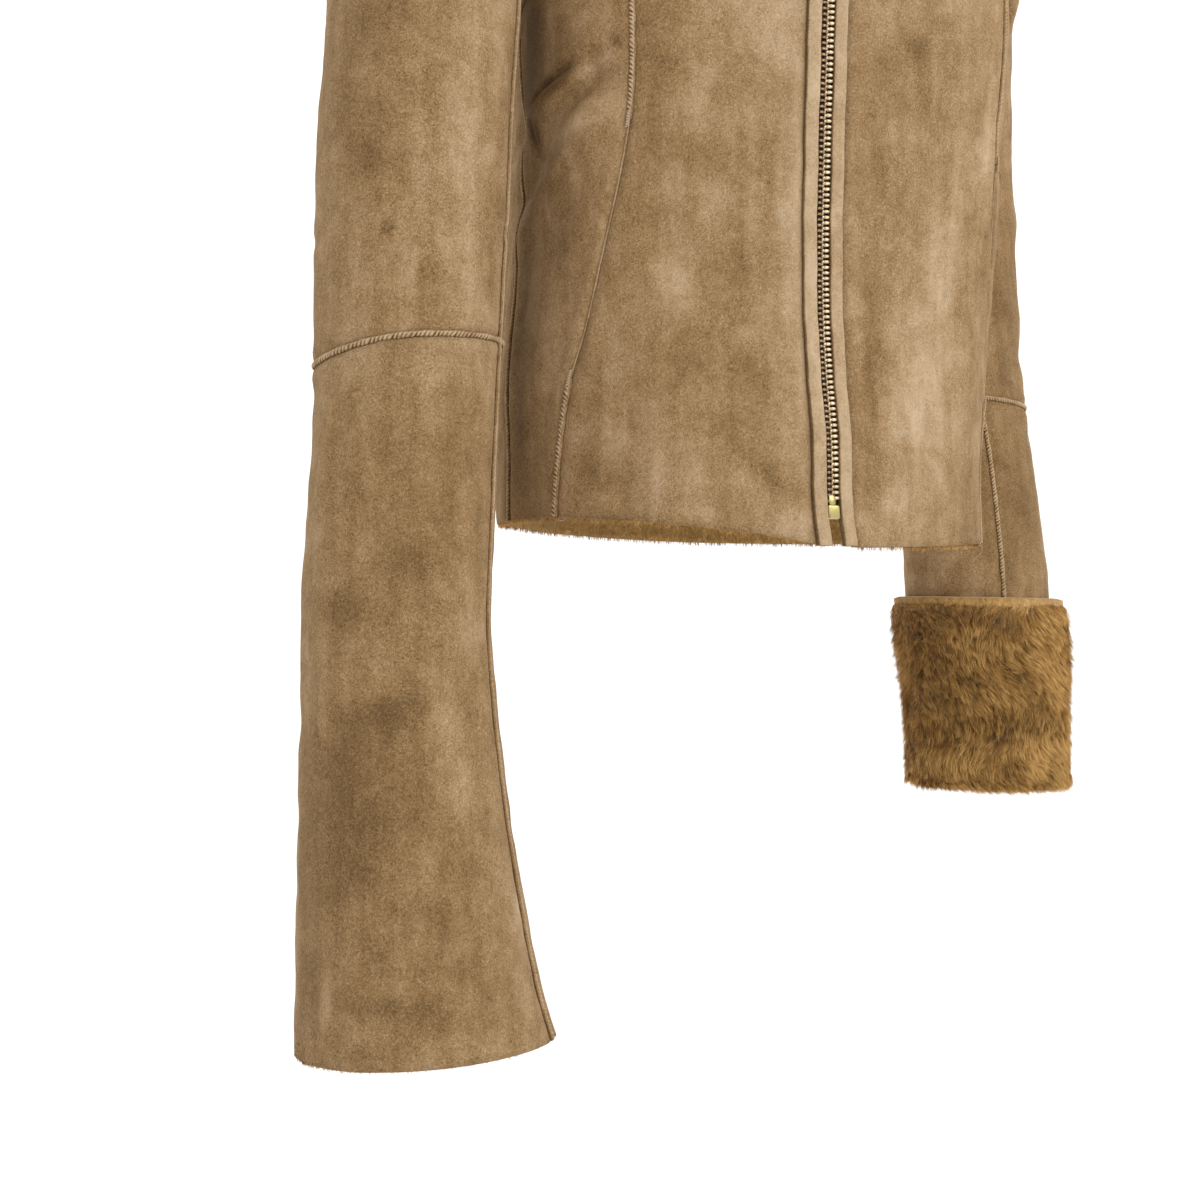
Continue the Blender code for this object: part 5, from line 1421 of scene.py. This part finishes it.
def strip(name, low, high, section, step, material, slot, tone=0, wobble=0.0):
    """Soft bar along the centre front with a closed section of (across, out) pairs."""
    at, line, across, out = frames_along(step, low, high)
    section = np.array(section)
    aside = wobble * np.sin(at * FULL_TURN / 0.063) + 0.5 * wobble * np.sin(at * 261)
    points = (line[:, None] + across[:, None] * (section[None, :, :1] + aside[:, None, None])
              + out[:, None] * section[None, :, 1:])
    rows, columns = points.shape[:2]
    faces = [grid_faces(rows, columns, True), *end_caps(rows, columns)]
    tones = np.broadcast_to(tone, points.shape[:2])
    return tagged(piece(name, points, faces, finish(material), values={"nap": tones}), slot)


def rounded_block(size, swell, rows=7, columns=12):
    """Points and faces of a softly rounded block, as a squared ball of three half sizes."""
    lat = np.linspace(-math.pi / 2, math.pi / 2, rows)[:, None]
    lon = np.linspace(0, FULL_TURN, columns + 1)[:-1][None]
    x = power(np.cos(lat), swell) * power(np.cos(lon), swell)
    y = power(np.cos(lat), swell) * power(np.sin(lon), swell)
    z = power(np.sin(lat), swell) + 0 * lon
    points = np.stack([x * size[0], y * size[1], z * size[2]], axis=-1).reshape(-1, 3)
    return points, grid_faces(rows, columns, True)


def repeat_blocks(name, block, centres, axes, metal, tone=0.0):
    """One piece of a metal from copies of a block, each at its centre with its own three axes."""
    points, faces = block
    many = centres[:, None] + np.einsum("pk,nkc->npc", points, axes)
    every = faces[None] + (np.arange(len(centres)) * len(points))[:, None, None]
    work = piece(name, many, every.reshape(-1, 4), finish(metal),
                 values={"nap": np.full(many.shape[:2], tone)})
    close_poles(work)
    return tagged(work, metal)


def close_poles(work):
    """Merge the points at a ball's poles, so no face is left without area."""
    mesh = bmesh.new()
    mesh.from_mesh(work.data)
    bmesh.ops.remove_doubles(mesh, verts=mesh.verts, dist=1e-7)
    bmesh.ops.dissolve_degenerate(mesh, edges=mesh.edges, dist=1e-8)
    mesh.to_mesh(work.data)
    mesh.free()
    work.data.shade_smooth()


class JACKET_OT_zip(bpy.types.Operator):
    """Zip with folded bands, tape, teeth, retainer box, slider and pull tab"""
    bl_idname = "jacket.zip"
    bl_label = "Zip"

    def execute(self, context):
        pitch = context.scene.jacket_zip.pitch
        top = COLLAR_HEIGHT + float(body(0.0, NECK_CLIMB)[2])
        bottom = float(body(0.0, hem_climb(0))[2])
        for side in (-1, 1):
            self.band(side, bottom, top)
        self.teeth(pitch, top - 1 * MM - SLIDER_LENGTH)
        self.retainer()
        self.slider(top)
        return {"FINISHED"}

    def band(self, side, bottom, top):
        """Folded strip of suede beside the teeth, with its tape behind."""
        name = SIDE_NAME[side]
        turn = np.linspace(0, 1, 13)
        inner = BAND_INNER - (1.5 if side < 0 else 0.8) * MM
        middle, half = (inner + BAND_OUTER) / 2, (BAND_OUTER - inner) / 2
        arch = [(middle - half * math.cos(math.pi * t),
                 -0.2 * MM + (BAND_RAISE + 0.3 * MM) * math.sin(math.pi * t) ** 0.45)
                for t in turn]
        section = [(inner, BAND_BACK)] + arch + [(BAND_OUTER, BAND_BACK)]
        # the band's tone: painted shade along both edges, and a painted highlight over the raised
        # top
        tone = np.array([-1.4, -0.9, -0.2] + [0.7] * 9 + [-0.4, -1.0, -1.4])[None]
        band = strip("zip_band_" + name + "_cloth", bottom, top,
                     [(side * a, d) for a, d in section], 2.5 * MM, "suede_band_" + name,
                     "suede", tone, 0.25 * MM)
        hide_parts("zip_band_" + name)
        flat = [(0.3, -4.8), (0.3, -4.0), (4.0, -3.9), (9.0, -4.0), (14.0, -4.0), (14.0, -4.8)]
        tape = strip("zip_tape_" + name + "_cloth", BOX_BOTTOM, top,
                     [(side * a * MM, d * MM) for a, d in flat], 5 * MM, "zip_tape", "zip_tape")
        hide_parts("zip_tape_" + name)

    def teeth(self, pitch, top):
        """Two rows of teeth that mesh: wide rounded backs and narrow heads past the middle."""
        _, line, across, out = frames_along(pitch / 2, BOX_TOP + 1 * MM, top)
        up = unit(np.gradient(line, axis=0))
        for side, first in ((-1, 0), (1, 1)):
            p, a, o, u = (values[first::2] for values in (line, across, out, up))
            slant = unit(u + a * (0.30 if side > 0 else 0.12))
            axes = np.stack([a * side, o, slant], axis=1)
            # each row's last number is a tone: the left side's row lighter, the right side's
            # darker, a painted highlight and painted shade on the same metal
            repeat_blocks(
                "zip_teeth_" + SIDE_NAME[side], rounded_block(
                    ((2.3 + 0.3 * side) * MM, 1.6 * MM, (1.2 + 0.15 * side) * MM), 0.62),
                p + a * ((2.85 * side + 0.15) * MM) + o * ((0.1 * side - 0.6) * MM), axes,
                "antique_brass", 0.14 * side - 0.06)
            repeat_blocks(
                "zip_heads_" + SIDE_NAME[side],
                rounded_block((1.25 * MM, 1.2 * MM, 1.35 * MM), 0.7, 6, 10),
                p + a * (side * 0.35 * MM) + o * (-0.6 * MM), axes,
                "antique_brass", 0.12 * side - 0.10)
        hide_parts("zip_chain")

    def retainer(self):
        """Pale box at the chain's foot, with fine ribs on its face and the pin above it."""
        _, line, across, out = frames_along(0.5 * MM, BOX_BOTTOM, BOX_TOP)
        middle = (line[0] + line[-1]) / 2
        up, a, o = unit(line[-1] - line[0]), across[0], out[0]
        half = np.linalg.norm(line[-1] - line[0]) / 2
        axes = np.stack([a, o, up])[None]
        box = repeat_blocks("zip_retainer",
                            rounded_block((4.5 * MM, 2.5 * MM, half), 0.22, 13, 24),
                            (middle + o * (-1.0 * MM))[None], axes, "pale_brass")
        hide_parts("zip_box")
        ribs = [middle + a * (x * MM) + o * (1.42 * MM) for x in np.linspace(-3.4, 3.4, 9)]
        repeat_blocks("retainer_ribs",
                      rounded_block((0.22 * MM, 0.3 * MM, half * 0.82), 0.5, 5, 8),
                      np.array(ribs), np.repeat(axes, len(ribs), axis=0), "pale_brass")
        pin = middle + up * (half + 3.6 * MM) + a * (-0.6 * MM) + o * (-0.2 * MM)
        repeat_blocks("zip_pin", rounded_block((2.7 * MM, 1.3 * MM, 3.5 * MM), 0.35),
                      pin[None], axes, "pale_brass")

    def slider(self, top):
        """Slider body with its two shoulders, the bail, and the pull tab on its own body."""
        high = top - 1 * MM
        _, line, across, out = frames_along(0.5 * MM, high - SLIDER_LENGTH, high)
        low, tip = line[0], line[-1]
        middle, up, a = (low + tip) / 2, unit(tip - low), unit(across[-1])
        o = unit(np.cross(up, a))
        o = -o if o[1] > 0 else o

        def plate(name, outline, back, front, bevel, body_name=JACKET, hole=None):
            """Flat brass part: its outline in mm across and up, its depths and bevel in mm."""
            mesh = bmesh.new()
            loops = []
            for d in (back, front):
                for shape in (outline, hole) if hole else (outline,):
                    ring = [mesh.verts.new(Vector(middle + a * (x * MM) + up * (z * MM)
                                                  + o * (d * MM))) for x, z in shape]
                    loops.append([mesh.edges.new(pair) for pair in zip(ring, ring[1:] + ring[:1])])
            half_count = len(loops) // 2
            for group in (loops[:half_count], loops[half_count:]):
                bmesh.ops.triangle_fill(mesh, use_beauty=True, edges=sum(group, []))
            for first, second in zip(loops[:half_count], loops[half_count:]):
                bmesh.ops.bridge_loops(mesh, edges=first + second)
            bmesh.ops.recalc_face_normals(mesh, faces=mesh.faces)
            data = bpy.data.meshes.new(name)
            mesh.to_mesh(data)
            mesh.free()
            data.materials.append(finish("antique_brass"))
            work = placed(name, data)
            rounding = work.modifiers.new("edges", "BEVEL")
            rounding.width, rounding.segments, rounding.limit_method = bevel * MM, 3, "ANGLE"
            data.shade_smooth()
            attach(work, body_name)
            return tagged(work, "antique_brass")
        reach = SLIDER_LENGTH / 2 / MM - 0.3
        outline = [(-3.9, -reach), (3.9, -reach), (4.6, -2), (5.7, 3), (5.7, reach - 1.5),
                   (4.2, reach), (-4.2, reach), (-5.7, reach - 1.5), (-5.7, 3), (-4.6, -2)]
        face = plate("zip_slider_face", outline, 1.4, 3.3, 0.5)
        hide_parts("zip_slider")
        plate("zip_slider_back", outline, -3.5, -2.4, 0.4)
        plate("zip_slider_post", [(-1.6, 0), (1.6, 0), (1.6, reach - 1), (-1.6, reach - 1)],
              -2.5, 1.5, 0.2)
        arch = [(-6.6, 3.0), (-6.4, 4.6), (-5.0, 6.8), (-2.5, 6.95), (2.5, 6.95), (5.0, 6.8),
                (6.4, 4.6), (6.6, 3.0)]
        arch = [middle + up * (z * MM) + o * (d * MM) for z, d in arch]
        thread_tube("zip_bail", resample(np.array(arch), 0.8 * MM)[1], 0.9 * MM,
                    "antique_brass", 10, "antique_brass")
        pull = [(-3.6, 1.0), (3.6, 1.0), (3.8, -12), (4.4, -16), (4.4, -31), (2.4, -34),
                (-2.4, -34), (-4.4, -31), (-4.4, -16), (-3.8, -12)]
        window = [(-2.2, -0.8), (2.2, -0.8), (2.2, -9.4), (1.2, -10.2), (-1.2, -10.2),
                  (-2.2, -9.4)]
        tab = plate("pull_tab_metal", pull, 4.1, 5.7, 0.3, TAB, window)
        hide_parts("pull_tab")


class JACKET_OT_details(bpy.types.Operator):
    """Loose threads at the hem's corners and seam ends, and one at the zip band's foot"""
    bl_idname = "jacket.details"
    bl_label = "Loose threads"

    def execute(self, context):
        t = np.linspace(0, 1, 40)[:, None]
        # name, degrees round the hem, mm above it, which way, length in mm, curl in mm
        for name, angle, climb_up, way, length, curl in (
                ("thread_hem_left", 62.0, 1.0, (-0.35, -0.15, -1.0), 17, 3.0),
                ("thread_hem_left_short", 63.2, 2.0, (-0.6, -0.2, -0.5), 9, 2.0),
                ("thread_hem_right", -62.0, 1.0, (-0.5, -0.4, -0.6), 7, 1.5),
                ("thread_band", -4.0, 0.5, (-0.2, -0.5, -1.0), 6, 1.2)):
            climb = float(hem_climb(angle)) + climb_up * MM
            start = body(math.radians(angle), climb)
            way = unit(np.array(way))
            aside = unit(np.cross(way, np.array([0.2, 1.0, 0.1])))
            path = start + way * (t * length * MM) + aside * (np.sin(t * 4.2) * curl * MM)
            thread_tube(name, path, 0.22 * MM, "seam_thread", 5)
        return {"FINISHED"}


class JACKET_OT_stage(bpy.types.Operator):
    """Pale floor and backdrop, soft studio light and the photograph's camera"""
    bl_idname = "jacket.stage"
    bl_label = "Stage"

    def execute(self, context):
        scene = context.scene
        self.camera(scene)
        self.backdrop()
        self.lights(scene.jacket_stage)
        return {"FINISHED"}

    def camera(self, scene):
        data = bpy.data.cameras.new("photo_camera")
        data.lens, data.sensor_width, data.sensor_fit = LENS, SENSOR, "HORIZONTAL"
        data.clip_start = 0.02
        view = placed("photo_camera", data)
        view.location = EYE
        view.rotation_euler = (math.pi / 2, 0, -LOOK_TURN)
        scene.camera = view

    def backdrop(self):
        """Floor that sweeps up behind in one wide curve."""
        floor, start, radius, wide, tall = -1.45, 1.6, 1.2, 7.0, 4.5
        turn = np.linspace(0, math.pi / 2, 25)
        profile = [(-5.0, floor), (-2.0, floor), (start, floor)]
        profile += [(start + radius * math.sin(a), floor + radius * (1 - math.cos(a)))
                    for a in turn[1:]]
        profile += [(start + radius, floor + tall)]
        c, s = math.cos(LOOK_TURN), math.sin(LOOK_TURN)
        points = [[(x * c + y * s, -x * s + y * c, z) for x in np.linspace(-wide, wide, 9)]
                  for y, z in profile]
        points = np.array(points)
        mesh = bpy.data.meshes.new("backdrop")
        mesh.from_pydata(points.reshape(-1, 3).tolist(), [],
                         grid_faces(*points.shape[:2]).tolist())
        mesh.shade_smooth()
        mesh.materials.append(paper_material("backdrop_paper", (0.93, 0.93, 0.93)))
        placed("backdrop", mesh)

    def lights(self, sizes):
        world = bpy.data.worlds.new("soft_surroundings")
        world.use_nodes = True
        air = world.node_tree.nodes["Background"].inputs
        air["Color"].default_value = (1, 1, 1, 1)
        air["Strength"].default_value = sizes.air
        scene = bpy.context.scene
        scene.world = world
        scene.view_settings.view_transform = "Standard"
        ahead = Vector((math.sin(LOOK_TURN), math.cos(LOOK_TURN), 0))
        aside = Vector((math.cos(LOOK_TURN), -math.sin(LOOK_TURN), 0))
        target = Vector((0, 0, -0.5))
        # name, metres to the right, in front of and above the jacket, size in metres, watts
        for name, right, front, rise, size, watts in (
                ("key_light", 1.5, 1.9, 0.9, 1.6, sizes.key),
                ("fill_light", -1.9, 1.2, 0.3, 1.6, sizes.fill),
                ("backdrop_light", 0.0, -0.6, 2.0, 2.5, 50)):
            data = bpy.data.lights.new(name, "AREA")
            data.shape, data.size, data.energy = "SQUARE", size, watts
            work = placed(name, data)
            work.location = target + aside * right - ahead * front + Vector((0, 0, rise))
            aim = target + ahead * 2.0 if name == "backdrop_light" else target
            work.rotation_euler = (aim - work.location).to_track_quat("-Z", "Y").to_euler()


class JACKET_PT_panel(bpy.types.Panel):
    """Lists the jacket's settings and steps"""
    bl_idname = "JACKET_PT_panel"
    bl_label = "Shearling jacket"
    bl_space_type = "VIEW_3D"
    bl_region_type = "UI"
    bl_category = "Jacket"

    def draw(self, context):
        for group in SETTINGS:
            box = self.layout.box()
            settings = getattr(context.scene, group)
            for name in settings.bl_rna.properties.keys():
                if name not in ("rna_type", "name"):
                    box.prop(settings, name)
        for step in STEPS:
            self.layout.operator(step.bl_idname)


SETTINGS = {"jacket_suede": SuedeSettings, "jacket_pile": PileSettings,
            "jacket_seam": SeamSettings, "jacket_zip": ZipSettings,
            "jacket_stage": StageSettings}
STEPS = (JACKET_OT_stage, JACKET_OT_body, JACKET_OT_sleeves, JACKET_OT_seams, JACKET_OT_zip,
         JACKET_OT_pile, JACKET_OT_details)


def register():
    for group, made in SETTINGS.items():
        bpy.utils.register_class(made)
        setattr(bpy.types.Scene, group, PointerProperty(type=made))
    for made in (*STEPS, JACKET_PT_panel):
        bpy.utils.register_class(made)


def unregister():
    for made in (*STEPS, JACKET_PT_panel):
        bpy.utils.unregister_class(made)
    for group, made in SETTINGS.items():
        delattr(bpy.types.Scene, group)
        bpy.utils.unregister_class(made)


def main():
    register()
    for step in STEPS:
        group, name = step.bl_idname.split(".")
        getattr(getattr(bpy.ops, group), name)()
    bpy.context.view_layer.update()


if __name__ == "__main__":
    main()
